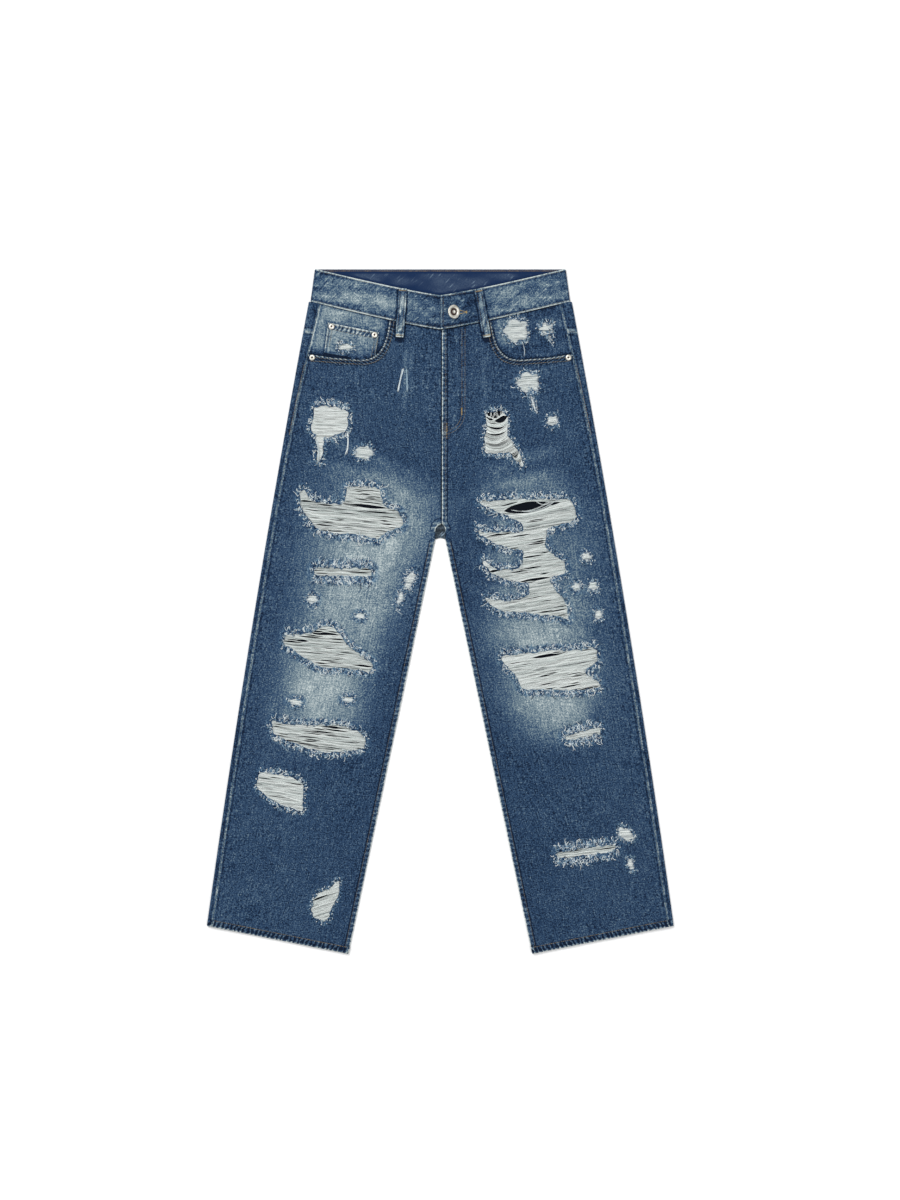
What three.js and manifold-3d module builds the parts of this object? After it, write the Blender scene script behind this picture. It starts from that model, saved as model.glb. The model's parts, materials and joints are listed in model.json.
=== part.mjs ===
// A pair of ripped blue jeans, laid flat and front up on a surface.
//
// Millimetres. +X runs to the wearer's left, +Y towards the waist and +Z up from the surface.
// The origin is on the surface, under the middle of the garment. Left and right in names are the
// wearer's. Each sewn piece is a wall of cloth. The back pieces lie on the surface and turn over
// the outer edge of each leg, and the front pieces lie on them, with SEAM_GAP where two meet.
import * as THREE from "three";
import { mergeVertices } from "three/addons/utils/BufferGeometryUtils.js";
import Module from "manifold-3d";

const wasm = await Module();
wasm.setup();

// ---- Driving dimensions -------------------------------------------------------------------

// The outline of one half, as corners at +X: the other half is its mirror image.
const WAIST_CORNER = new THREE.Vector2(188, 513);
const BAND_CORNER = new THREE.Vector2(194.6, 464.3); // where the waistband ends at the side
const HEM_OUTER = new THREE.Vector2(350, -471);
const HEM_INNER = new THREE.Vector2(138, -513);
const CROTCH = new THREE.Vector2(7.5, 109);
const FRONT_CROTCH = 128; // the fronts end above the back's crotch seam, which shows below them
const SIDE_BOW = 6; // how far the outer edge bows out of a straight line at mid-length

// Cloth.
const DENIM = 1.2; // one layer
const BAND = 2; // the waistband, a folded layer
const HEM = 2; // the hem, a folded layer
const LOOP = 2.2; // a belt loop, folded in three
const SEAM_GAP = 0.3;
const LAYER_STEP = DENIM + SEAM_GAP; // from one layer's middle to the next one's

// The turned outer edge of a leg.
const TURN_RADIUS = 1.7; // of the layer's middle
const TURN_STEPS = 5;
const TURN_REACH = 45; // how far in from the edge the front has come down to the back
const LEG_FRONT_HEIGHT = 2.4; // middle of the front layer, away from the turned edge
const WRAP_LEG = 8; // how far the back pieces show on the front, along the leg
const WRAP_WAIST = 18; // and at the waistband
const WRAP_WIDENS_ABOVE = 150;

// Waistband: its front sags below its back between the two sides.
const BAND_DIP_TOP = 39;
const BAND_DIP_BOTTOM = 41.3;
const BAND_SAG = 1.15; // 1 is a straight line from side to centre, and 2 a round curve
const BAND_TURN_RADIUS = 1.6;
const UNDERLAP_END = 38; // the right front end runs on under the left one as far as this
const OVERLAP_END = 1; // the left front end's edge, on top
const OVERLAP_RAMP = 11;
const OVERLAP_HEIGHT = 6.6; // middle of the left end, where it lies on the right one

// Front.
const FLY_SEAM = 2.5; // the centre-front seam is a little to the wearer's left
const POCKET_LAYERS_ABOVE = 352; // the front lies on its pocket facings above this
const POCKET_LAYERS_FADE = 52;
const ZIP_HALF_WIDTH = 13;
const ZIP_BOTTOM = 284;
const ZIP_TOP = 416;
const ZIP_THICKNESS = 0.8;
const ZIP_LIFT = 1.1;
const FLY_WIDTH = 24;
const FLY_CORNER_GAP = 0.8; // the waistband's lower edge is a little sharper than a front's corner
const DIP_FADE = 0.12; // the share of a front's length in which its rows lose the band's curve
const HEM_HEIGHT = 11;

// Back.
const YOKE_CENTRE = 386; // where the yoke seam crosses the centre back
const YOKE_SIDE = 417; // and where it turns over the side

// Openings and small pieces.
const POCKET_CENTRE_X = 76; // where the pocket opening's straight part starts to bend
const POCKET_LEAN = 4; // how much nearer the middle its top is
const POCKET_STRAIGHT_Y = 435; // the lower end of the straight part
const POCKET_SIDE_Y = 390; // the opening's level beyond the side seam
const POCKET_DEPTH_Y = 377; // its lowest level
const POCKET_BEND_X = 121; // where the bend ends
const POCKET_BEND_HANDLES = [6, 19]; // how far the bend's two handles are from the straight part
const POCKET_RISE = { x: 161, y: 380 }; // on the lower edge, which rises slowly to the side
const POCKET_BEYOND = 40; // how far its outline runs on past the waist's corner
const FACING_BELOW = 16; // how far a facing runs on under the front
const COIN_POCKET = [[-168, 433], [-92, 418], [-99, 374], [-174, 388]];
const BUTTONHOLE_END = 37;
const BUTTONHOLE_WIDTH = 5.4;

// Belt loops lean as they run down. A loop's profile is its share of the way down and its
// middle's height there, and it stands off the band between its two ends.
const LOOP_WIDTH = 13;
const LOOP_CROWN = 0.3;
const LOOP_PROFILE = [[0, 6.8], [0.12, 7.2], [0.35, 7.9], [0.65, 7.9], [0.88, 7.3], [1, 6.9]];
const BELT_LOOPS = [
  { name: "belt_loop_left", top: new THREE.Vector2(57, 483), bottom: new THREE.Vector2(70, 411) },
  { name: "belt_loop_right", top: new THREE.Vector2(-56, 484), bottom: new THREE.Vector2(-61, 411) },
];

// Metal. A profile is radii and heights, from the bottom of the axis to the top of it.
const BUTTON_AT = new THREE.Vector3(15.5, 448.5, 6.7);
const BUTTON_TILT = THREE.MathUtils.degToRad(34);
const BUTTON_SIDES = 24;
const BUTTON_PROFILE = [
  [0, 0], [2.1, 0], [2.1, 7.6], [9.1, 7.8], [10.5, 8.5], [10.5, 9.3],
  [9.6, 10.1], [7.5, 10.3], [5.9, 9.6], [5.1, 8.7], [0, 8.5],
];
const RIVET_SIDES = 16;
const RIVET_PROFILE = [
  [0, 0], [4.5, 0], [4.5, 0.4], [3.9, 1.1], [2.9, 1.6], [1.6, 1.6], [1.2, 0.9], [0, 0.8],
];
const RIVETS = [
  { name: "rivet_pocket_left", at: [192, 380.5, 6.4] },
  { name: "rivet_pocket_right", at: [-192, 380.5, 6.4] },
  { name: "rivet_coin_outer", at: [-163, 427, 6.3] },
  { name: "rivet_coin_inner", at: [-98.5, 414.5, 6.3] },
];

// Where the walls have points, as shares of a row or as places across the waistband.
const BACK_SHARES = [0, 0.3, 0.65, 1];
const FRONT_SHARES = [0.28, 0.46, 0.64, 0.8, 0.92, 1];
const BACK_BAND_SHARES = [-1, -0.5, 0.001, 0.5, 1];
const UNDERLAP_PLACES = [UNDERLAP_END, 22, 0.01, -22, -50, -84, -120, -156];
const OVERLAP_PLACES = [156, 120, 90, UNDERLAP_END + 2 + OVERLAP_RAMP];
const OVERLAP_TOP_PLACES = [UNDERLAP_END + 2, 24, OVERLAP_END];
const CUTTER_DEPTH = 40;
const CUTTER_BELOW = 10;

// Rips that go through a front. Each is a centre and an outline round it, and what is left in
// it is a wall of bare weft threads.
const RIPS = [
  {
    name: "right_hip",
    centre: [-165, 283],
    outline: [
      [-24, 19], [-12, 25], [12, 21], [27, 11], [26, -6], [21, -14],
      [2, -21], [-10, -24], [-13, -58], [-19, -58], [-20, -26], [-30, -6], [-24, 5],
    ],
  },
  {
    name: "right_thigh",
    centre: [-134, 149],
    outline: [
      [-77, 31], [-70, 36], [-62, 18], [-38, 13], [-10, 12], [-6, 36], [3, 40],
      [43, 37], [49, 8], [69, 2], [78, -9], [78, -21], [54, -29], [41, -41],
      [12, -33], [-20, -33], [-48, -27], [-67, -6], [-77, 9],
    ],
  },
  {
    name: "right_thigh_slit",
    centre: [-146, 59],
    outline: [[-43, 6], [-10, 5], [43, 5], [42, -6], [0, -5], [-43, -5]],
  },
  {
    name: "right_knee",
    centre: [-168, -58],
    outline: [
      [-68, 9], [-65, 24], [-38, 24], [-18, 29], [-9, 35], [5, 36], [17, 25],
      [27, 9], [47, -6], [67, -20], [64, -34], [32, -27], [-8, -26], [-33, -14], [-53, 2],
    ],
  },
  {
    name: "right_shin",
    centre: [-182, -187],
    outline: [
      [-70, 24], [-51, 18], [-10, 17], [37, 17], [52, 9], [69, 1], [70, -13],
      [67, -19], [43, -22], [12, -25], [-18, -18], [-43, -7], [-61, -1], [-71, 6],
    ],
  },
  {
    name: "right_calf",
    centre: [-240, -269],
    outline: [
      [-32, 27], [0, 25], [23, 18], [35, 11], [35, -14], [33, -30],
      [23, -27], [5, -21], [-16, -10], [-35, 4],
    ],
  },
  {
    name: "right_ankle",
    centre: [-173, -437],
    outline: [
      [21, 37], [22, 25], [19, 10], [8, -11], [6, -23], [-3, -28],
      [-17, -21], [-20, -8], [-17, 7], [-7, 15], [11, 25],
    ],
  },
  {
    name: "left_hip",
    centre: [90, 266],
    outline: [
      [-23, 30], [0, 36], [12, 27], [11, -2], [18, -13], [29, -30], [36, -47],
      [32, -50], [21, -36], [12, -27], [-5, -30], [-23, -30], [-24, -7], [-20, 11],
    ],
  },
  {
    name: "left_thigh",
    centre: [127, 85],
    outline: [
      [-71, 80], [0, 84], [69, 83], [75, 70], [78, 53], [32, 39], [30, 11], [42, 0],
      [57, -9], [63, -27], [36, -35], [44, -51], [57, -65], [65, -84], [65, -96],
      [51, -93], [-3, -86], [-38, -84], [-59, -69], [-60, -62], [-48, -68], [-23, -69],
      [5, -63], [6, -42], [-8, -42], [-30, -36], [-51, -27], [-63, -12], [-62, -7],
      [-44, -22], [-8, -20], [-3, -12], [-2, 3], [-8, 8], [-30, 11], [-48, 18],
      [-68, 30], [-74, 44], [-63, 33], [-23, 35], [-3, 33], [-3, 45], [-23, 56],
      [-44, 66], [-63, 74],
    ],
  },
  {
    name: "left_knee",
    centre: [168, -85],
    outline: [
      [-77, 18], [-34, 23], [2, 27], [31, 27], [66, 31], [68, 9], [48, -3],
      [53, -11], [68, -19], [74, -29], [41, -33], [-47, -32], [-51, -17], [-59, -4], [-76, 8],
    ],
  },
  {
    name: "left_shin",
    centre: [214, -185],
    outline: [[-27, -3], [-12, 3], [21, 11], [26, 11], [25, 2], [3, -4], [-25, -9]],
  },
  {
    name: "left_ankle",
    centre: [220, -359],
    outline: [[-45, -4], [-18, 2], [43, 10], [43, 1], [2, -7], [-44, -11]],
  },
];

// ---- Finishes -----------------------------------------------------------------------------

const cloth = (color) =>
  new THREE.MeshStandardMaterial({ color, roughness: 0.9, metalness: 0, side: THREE.DoubleSide });
const metal = (color) =>
  new THREE.MeshStandardMaterial({ color, roughness: 0.35, metalness: 1 });

const DENIM_BLUE = "#2c4a75";
const FADED_BLUE = "#5b7690";
const BAND_BLUE = "#3d5b80";
const WEFT_WHITE = "#d6d5cb";
const NICKEL = "#c9c4b8";
const ZIP_TAPE = "#26354d";

// ---- Solids -------------------------------------------------------------------------------

// A closed wall from a grid of points. Each point is a Vector4: a place on the layer's middle,
// and the thickness there as w. The wall reaches half of that to each side, along the normal.
function clothWall(grid) {
  const rows = grid.length;
  const columns = grid[0].length;
  const place = (i, j) => new THREE.Vector3().copy(
    grid[THREE.MathUtils.clamp(i, 0, rows - 1)][THREE.MathUtils.clamp(j, 0, columns - 1)],
  );
  const positions = [];
  for (const side of [1, -1]) {
    for (let i = 0; i < rows; i += 1) {
      for (let j = 0; j < columns; j += 1) {
        const along = place(i, j + 1).sub(place(i, j - 1));
        const down = place(i + 1, j).sub(place(i - 1, j));
        const normal = along.cross(down).normalize();
        const point = place(i, j).addScaledVector(normal, (side * grid[i][j].w) / 2);
        positions.push(point.x, point.y, point.z);
      }
    }
  }
  const outer = (i, j) => i * columns + j;
  const inner = (i, j) => (rows + i) * columns + j;
  const faces = [];
  const quad = (a, b, c, d) => faces.push(a, b, c, a, c, d);
  for (let i = 0; i < rows - 1; i += 1) {
    for (let j = 0; j < columns - 1; j += 1) {
      quad(outer(i, j), outer(i, j + 1), outer(i + 1, j + 1), outer(i + 1, j));
      quad(inner(i, j), inner(i + 1, j), inner(i + 1, j + 1), inner(i, j + 1));
    }
  }
  const last = { i: rows - 1, j: columns - 1 };
  for (let j = 0; j < last.j; j += 1) {
    quad(outer(0, j), inner(0, j), inner(0, j + 1), outer(0, j + 1));
    quad(outer(last.i, j), outer(last.i, j + 1), inner(last.i, j + 1), inner(last.i, j));
  }
  for (let i = 0; i < last.i; i += 1) {
    quad(outer(i, 0), outer(i + 1, 0), inner(i + 1, 0), inner(i, 0));
    quad(outer(i, last.j), inner(i, last.j), inner(i + 1, last.j), outer(i + 1, last.j));
  }
  const geometry = new THREE.BufferGeometry();
  geometry.setAttribute("position", new THREE.Float32BufferAttribute(positions, 3));
  geometry.setIndex(faces);
  return geometry;
}

function solidOf(geometry) {
  const bare = geometry.clone();
  bare.deleteAttribute("normal");
  bare.deleteAttribute("uv");
  const merged = mergeVertices(bare, 1e-4);
  return new wasm.Manifold(new wasm.Mesh({
    numProp: 3,
    vertProperties: merged.attributes.position.array,
    triVerts: new Uint32Array(merged.index.array),
  }));
}

function geometryOf(solid) {
  const { vertProperties, triVerts } = solid.getMesh();
  const geometry = new THREE.BufferGeometry();
  geometry.setAttribute("position", new THREE.BufferAttribute(vertProperties, 3));
  geometry.setIndex(new THREE.BufferAttribute(triVerts, 1));
  return geometry;
}

// The same wall on the other side of the garment: x changes sign and each face turns round.
function mirrored(geometry) {
  const copy = geometry.clone().scale(-1, 1, 1);
  const index = copy.index.array;
  for (let k = 0; k < index.length; k += 3) {
    [index[k + 1], index[k + 2]] = [index[k + 2], index[k + 1]];
  }
  return copy;
}

// An upright block with this plan, tall enough to cut through every layer.
function cutter(shape) {
  const block = new THREE.ExtrudeGeometry(shape, { depth: CUTTER_DEPTH, bevelEnabled: false });
  return solidOf(block.translate(0, 0, -CUTTER_BELOW));
}

function ripPoints(rip) {
  const [x, y] = rip.centre;
  return rip.outline.map(([dx, dy]) => new THREE.Vector2(x + dx, y + dy));
}

// The outline moved in by a gap: each edge moves along its own normal, and each corner goes to
// where its two moved edges cross.
function insetOutline(points, gap) {
  const inward = THREE.ShapeUtils.isClockWise(points) ? -gap : gap;
  return points.map((point, k) => {
    const before = points[(k + points.length - 1) % points.length];
    const after = points[(k + 1) % points.length];
    const first = point.clone().sub(before).normalize();
    const second = after.clone().sub(point).normalize();
    const bisector = new THREE.Vector2(-first.y - second.y, first.x + second.x);
    const reach = (2 * inward) / bisector.lengthSq();
    return point.clone().addScaledVector(bisector, reach);
  });
}

// ---- The garment's outline and heights ----------------------------------------------------

const { lerp, smoothstep, clamp } = THREE.MathUtils;

// The silhouette's half width at a height above the hem, on the outer edge.
function outerEdge(y) {
  const t = (WAIST_CORNER.y - y) / (WAIST_CORNER.y - HEM_OUTER.y);
  return lerp(WAIST_CORNER.x, HEM_OUTER.x, t) + 4 * SIDE_BOW * t * (1 - t);
}

// The inner end of a row of a leg: the centre seam above the crotch and the inseam below it.
function innerEdge(y, seam) {
  if (y > seam.bottom) return seam.x;
  const t = (CROTCH.y - y) / (CROTCH.y - HEM_INNER.y);
  return lerp(CROTCH.x, HEM_INNER.x, Math.max(t, 0));
}

// How wide the back pieces show on the front, from the outer edge to the side seam.
function wrapWidth(y) {
  const t = clamp((y - WRAP_WIDENS_ABOVE) / (BAND_CORNER.y - WRAP_WIDENS_ABOVE), 0, 1);
  return lerp(WRAP_LEG, WRAP_WAIST, t * t);
}

// The lower edge of the waistband's front, at a distance from the middle.
function bandBottom(x) {
  const u = Math.abs(x) / (BAND_CORNER.x - BAND_TURN_RADIUS - BAND / 2);
  return BAND_CORNER.y + BAND_DIP_BOTTOM * (Math.min(u, 1) ** BAND_SAG - 1);
}

// The middle of the front layer, this far in from the outer edge: it comes down from the turn.
function layerHeight(inFromEdge) {
  const top = DENIM / 2 + 2 * TURN_RADIUS;
  return lerp(top, LEG_FRONT_HEIGHT, smoothstep(inFromEdge, TURN_RADIUS, TURN_REACH));
}

function frontLift(x, y) {
  const pockets = LAYER_STEP * smoothstep(y, POCKET_LAYERS_ABOVE - POCKET_LAYERS_FADE, POCKET_LAYERS_ABOVE);
  const overZip = y > ZIP_BOTTOM - HEM_HEIGHT && Math.abs(x) < FLY_WIDTH;
  return Math.max(pockets, overZip ? ZIP_LIFT : 0);
}

// Rows of a piece that runs from a start line to an end line. Each line is given by its height
// at the inner end and at the outer edge, and rowAt is 0 at the start and 1 at the end.
function rowLines(start, end, rowAt, seam) {
  return rowAt.map((t) => {
    const innerY = lerp(start.inner, end.inner, t);
    const outerY = lerp(start.outer, end.outer, t);
    const from = new THREE.Vector2(innerEdge(innerY, seam), innerY);
    const to = new THREE.Vector2(outerEdge(outerY), outerY);
    return { t, from, to, length: from.distanceTo(to) };
  });
}

const sideSeam = (y) => outerEdge(y) - wrapWidth(y);

// How far along a row the side seam crosses it, found by stepping to it.
function seamDistance(line) {
  let distance = line.length - wrapWidth(line.to.y);
  for (let step = 0; step < 6; step += 1) {
    const place = line.from.clone().lerp(line.to, distance / line.length);
    distance -= place.x - sideSeam(place.y);
  }
  return distance;
}

// Moves a point up by dy, and sideways by a share of what keeps a seam's end on the side seam.
function slide(point, dy, share) {
  point.x += share * (sideSeam(point.y + dy) - sideSeam(point.y));
  point.y += dy;
}

function pointOn(line, distance, height, thickness) {
  const place = line.from.clone().lerp(line.to, distance / line.length);
  return new THREE.Vector4(place.x, place.y, height, thickness);
}

// ---- Back pieces --------------------------------------------------------------------------

// A back piece's section: flat on the surface, round the outer edge and back to the side seam.
function backGrid(start, end, rowAt, hemFrom) {
  const seam = { x: SEAM_GAP / 2, bottom: CROTCH.y + 1 };
  return rowLines(start, end, rowAt, seam).map((line) => {
    const thickness = line.t > hemFrom ? HEM : DENIM;
    const edge = line.length - TURN_RADIUS - thickness / 2;
    const flat = BACK_SHARES.map((s) => pointOn(line, s * edge, thickness / 2, thickness));
    const turn = Array.from({ length: TURN_STEPS }, (_, k) => {
      const angle = -Math.PI / 2 + (Math.PI * (k + 1)) / TURN_STEPS;
      const height = thickness / 2 + TURN_RADIUS * (1 + Math.sin(angle));
      return pointOn(line, edge + TURN_RADIUS * Math.cos(angle), height, thickness);
    });
    const wrapEnd = seamDistance(line) + SEAM_GAP / 2;
    const height = layerHeight(line.length - wrapEnd) + thickness - DENIM;
    return [...flat, ...turn, pointOn(line, wrapEnd, height, thickness)];
  });
}

const even = (count) => Array.from({ length: count + 1 }, (_, k) => k / count);

// The yoke's edge on the front follows the waistband's lower edge, which has begun to dip.
function yoke() {
  const start = { inner: BAND_CORNER.y - SEAM_GAP, outer: BAND_CORNER.y - SEAM_GAP };
  const end = { inner: YOKE_CENTRE, outer: YOKE_SIDE };
  const rowAt = even(4);
  const grid = backGrid(start, end, rowAt, Infinity);
  grid.forEach((row, i) => {
    const wrap = row[row.length - 1];
    slide(wrap, (bandBottom(wrap.x) - BAND_CORNER.y) * (1 - rowAt[i]), 1);
  });
  return clothWall(grid);
}

// The rows of a leg piece: two close together where the centre seam ends, and where the hem
// starts. crotch is the height of the lower row at the end of the seam.
function legRows(startInner, crotch, count) {
  const length = startInner - HEM_INNER.y;
  const atCrotch = (startInner - crotch) / length;
  const atHem = 1 - HEM_HEIGHT / length;
  const above = even(count.above).map((t) => t * (atCrotch - 4 / length));
  const below = even(count.below).map((t) => lerp(atCrotch, atHem - 1 / length, t));
  return { rowAt: [...above, ...below, atHem, 1], atHem };
}

function backLeg() {
  const start = { inner: YOKE_CENTRE - SEAM_GAP, outer: YOKE_SIDE - SEAM_GAP };
  const end = { inner: HEM_INNER.y, outer: HEM_OUTER.y };
  const { rowAt, atHem } = legRows(start.inner, CROTCH.y, { above: 5, below: 14 });
  return clothWall(backGrid(start, end, rowAt, atHem - 1e-6));
}

// ---- Front pieces -------------------------------------------------------------------------

// The wall of a whole front, from the waistband to the hem. lift is how far the layer lies
// above the leg's front layer at a place.
function frontWall(seam, lift) {
  const start = {
    inner: BAND_CORNER.y - BAND_DIP_BOTTOM - SEAM_GAP,
    outer: BAND_CORNER.y - SEAM_GAP,
  };
  const end = { inner: HEM_INNER.y, outer: HEM_OUTER.y };
  const { rowAt, atHem } = legRows(start.inner, FRONT_CROTCH, { above: 12, below: 15 });
  const grid = rowLines(start, end, rowAt, { x: seam, bottom: FRONT_CROTCH + 1 }).map((line) => {
    const folded = line.t > atHem - 1e-6;
    const thickness = folded ? HEM : DENIM;
    const hemLift = folded ? 1.5 * (HEM - DENIM) : 0;
    const reach = seamDistance(line) - SEAM_GAP / 2;
    const near = FLY_WIDTH - 2;
    const beyond = FRONT_SHARES.map((s) => lerp(near, reach, s));
    return [0, near, ...beyond].map((distance) => {
      const height = layerHeight(line.length - distance) + hemLift;
      const point = pointOn(line, distance, height, thickness);
      point.z += lift(point.x, point.y);
      const chord = lerp(start.inner, start.outer, distance / line.length);
      const dip = bandBottom(point.x) - (distance ? SEAM_GAP : FLY_CORNER_GAP) - chord;
      slide(point, dip * Math.max(0, 1 - line.t / DIP_FADE), distance / reach);
      return point;
    });
  });
  return clothWall(grid);
}

// The wall of one side's front, before anything is cut from it. The centre-front seam is off
// the middle, so the two sides differ by twice that.
function frontOfSide(side, lift) {
  const seam = side * FLY_SEAM + SEAM_GAP / 2;
  const wall = frontWall(seam, lift);
  return solidOf(side > 0 ? wall : mirrored(wall));
}

// The pocket opening at +X: down from the waistband, round the bend and out past the side seam.
// below is how far its edge is moved down and towards the middle.
function pocketShape(below) {
  const top = WAIST_CORNER.y;
  const left = POCKET_CENTRE_X - below;
  const right = WAIST_CORNER.x + POCKET_BEYOND;
  const [upper, lower] = POCKET_BEND_HANDLES;
  const level = POCKET_DEPTH_Y - below;
  const shape = new THREE.Shape();
  shape.moveTo(left - POCKET_LEAN, top);
  shape.lineTo(left, POCKET_STRAIGHT_Y);
  shape.bezierCurveTo(
    left + upper, POCKET_SIDE_Y - below,
    left + lower, level,
    POCKET_BEND_X, level,
  );
  shape.lineTo(POCKET_RISE.x, POCKET_RISE.y - below);
  shape.lineTo(right, POCKET_SIDE_Y - below);
  shape.lineTo(right, top);
  return shape;
}

function sideCutter(side, shape) {
  const points = shape.getPoints(8).map((point) => new THREE.Vector2(side * point.x, point.y));
  return cutter(new THREE.Shape(points));
}

function ripCutter(rip, gap) {
  return cutter(new THREE.Shape(gap ? insetOutline(ripPoints(rip), gap) : ripPoints(rip)));
}

const ripsOf = (side) => RIPS.filter((rip) => Math.sign(rip.centre[0]) === side);

function frontLeg(side) {
  let front = frontOfSide(side, frontLift).subtract(sideCutter(side, pocketShape(0)));
  for (const rip of ripsOf(side)) front = front.subtract(ripCutter(rip, 0));
  return geometryOf(front);
}

function ripThreads(rip) {
  const front = frontOfSide(Math.sign(rip.centre[0]), frontLift);
  return geometryOf(front.intersect(ripCutter(rip, SEAM_GAP)));
}

// A facing lies one layer below the front, and shows in the pocket opening.
const noLift = () => 0;

function pocketFacing(side) {
  return geometryOf(frontOfSide(side, noLift).intersect(sideCutter(side, pocketShape(FACING_BELOW))));
}

// The coin pocket lies on the right facing, and stops at the edge of the pocket opening.
function coinPocket() {
  const plan = new THREE.Shape(COIN_POCKET.map(([x, y]) => new THREE.Vector2(x, y)));
  const opening = sideCutter(-1, pocketShape(-SEAM_GAP));
  return geometryOf(frontOfSide(-1, () => LAYER_STEP).intersect(cutter(plan)).intersect(opening));
}

// The closed zip's tapes, under the fly. Its teeth are too fine for this model.
function zip() {
  const width = 2 * ZIP_HALF_WIDTH;
  const tape = new THREE.BoxGeometry(width, ZIP_TOP - ZIP_BOTTOM, ZIP_THICKNESS);
  return tape.translate(0, (ZIP_TOP + ZIP_BOTTOM) / 2, LAYER_STEP + ZIP_THICKNESS / 2);
}

// ---- Waistband ----------------------------------------------------------------------------

const bandFrontHeight = BAND / 2 + 2 * BAND_TURN_RADIUS;
const bandInset = BAND_TURN_RADIUS + BAND / 2;

// A station across the band at u, which is -1 at the right side and 1 at the left one.
function bandStation(u, dip, height, out = 0) {
  const side = Math.sign(u);
  const rise = Math.abs(u) ** BAND_SAG - 1;
  const topX = u * (WAIST_CORNER.x - bandInset) + side * out;
  const bottomX = u * (BAND_CORNER.x - bandInset) + side * out;
  const topY = WAIST_CORNER.y + dip * BAND_DIP_TOP * rise;
  const bottomY = BAND_CORNER.y + dip * BAND_DIP_BOTTOM * rise;
  return [0, 0.5, 1].map(
    (s) => new THREE.Vector4(lerp(topX, bottomX, s), lerp(topY, bottomY, s), height, BAND),
  );
}

const bandU = (x) => x / (BAND_CORNER.x - bandInset);

// The turn at a side: half a circle from the back, below, to the front.
function bandTurn(side) {
  return Array.from({ length: TURN_STEPS - 1 }, (_, k) => {
    const angle = -Math.PI / 2 + (Math.PI * (k + 1)) / TURN_STEPS;
    const height = BAND / 2 + BAND_TURN_RADIUS * (1 + Math.sin(angle));
    return bandStation(side, 0, height, BAND_TURN_RADIUS * Math.cos(angle));
  });
}

// One strip: from the end under the fly, round the right side, along the back and round the
// left side to the end on top, which the buttonhole goes through.
function waistband() {
  const front = (x, height) => bandStation(bandU(x), 1, height);
  const stations = [
    ...UNDERLAP_PLACES.map((x) => front(x, bandFrontHeight)),
    bandStation(-1, 1, bandFrontHeight),
    ...bandTurn(-1).reverse(),
    ...BACK_BAND_SHARES.map((u) => bandStation(u, 0, BAND / 2)),
    ...bandTurn(1),
    bandStation(1, 1, bandFrontHeight),
    ...OVERLAP_PLACES.map((x) => front(x, bandFrontHeight)),
    ...OVERLAP_TOP_PLACES.map((x) => front(x, OVERLAP_HEIGHT)),
  ];
  const slot = new THREE.BoxGeometry(
    BUTTONHOLE_END - BUTTON_AT.x + BUTTONHOLE_WIDTH,
    BUTTONHOLE_WIDTH,
    BAND + SEAM_GAP,
  );
  slot.translate((BUTTONHOLE_END + BUTTON_AT.x - BUTTONHOLE_WIDTH) / 2, BUTTON_AT.y, OVERLAP_HEIGHT);
  return geometryOf(solidOf(clothWall(stations)).subtract(solidOf(slot)));
}

function beltLoop({ top, bottom }) {
  const down = bottom.clone().sub(top);
  const across = new THREE.Vector2(-down.y, down.x).normalize().multiplyScalar(LOOP_WIDTH / 2);
  const grid = LOOP_PROFILE.map(([t, height]) => {
    const middle = top.clone().addScaledVector(down, t);
    return [-1, 0, 1].map((s) => {
      const z = height + (s === 0 ? LOOP_CROWN : 0);
      return new THREE.Vector4(middle.x + s * across.x, middle.y + s * across.y, z, LOOP);
    });
  });
  return clothWall(grid);
}

// ---- Metal --------------------------------------------------------------------------------

function turnedSolid(profile, sides) {
  const points = profile.map(([radius, height]) => new THREE.Vector2(radius, height));
  return new THREE.LatheGeometry(points, sides).rotateX(Math.PI / 2);
}

// A rivet's cap: a low dome with a dimple in the middle, on the cloth.
const rivetCap = () => turnedSolid(RIVET_PROFILE, RIVET_SIDES);

// The button: a shank, and a disc with a raised rim round a hollow. It leans in its hole.
const button = () => turnedSolid(BUTTON_PROFILE, BUTTON_SIDES).rotateY(BUTTON_TILT);

// ---- Assembly -----------------------------------------------------------------------------

const jeans = new THREE.Group();

function add(name, geometry, material) {
  const mesh = new THREE.Mesh(geometry, material);
  mesh.name = name;
  jeans.add(mesh);
  return mesh;
}

for (const [word, side] of [["left", 1], ["right", -1]]) {
  const turned = (geometry) => (side > 0 ? geometry : mirrored(geometry));
  add(`back_leg_${word}`, turned(backLeg()), cloth(DENIM_BLUE));
  add(`yoke_${word}`, turned(yoke()), cloth(DENIM_BLUE));
  add(`front_leg_${word}`, frontLeg(side), cloth(DENIM_BLUE));
  add(`pocket_facing_${word}`, pocketFacing(side), cloth(FADED_BLUE));
}
for (const rip of RIPS) add(`threads_${rip.name}`, ripThreads(rip), cloth(WEFT_WHITE));

add("coin_pocket", coinPocket(), cloth(FADED_BLUE));
add("zip", zip(), cloth(ZIP_TAPE));
add("waistband", waistband(), cloth(BAND_BLUE));
for (const loop of BELT_LOOPS) add(loop.name, beltLoop(loop), cloth(FADED_BLUE));
for (const { name, at } of RIVETS) add(name, rivetCap(), metal(NICKEL)).position.set(...at);
add("button", button(), metal(NICKEL)).position.copy(BUTTON_AT);

export default jeans;
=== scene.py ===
"""Ripped blue jeans, laid flat and front up: the cloth, threads, stitches and metal that show.

Shapes are worked out in millimetres as whole arrays and put into meshes in metres. +X runs to
the wearer's left, +Y towards the waist and +Z up from the surface. Left and right in names are
the wearer's, and a side is +1 for left and -1 for right.
"""

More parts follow.
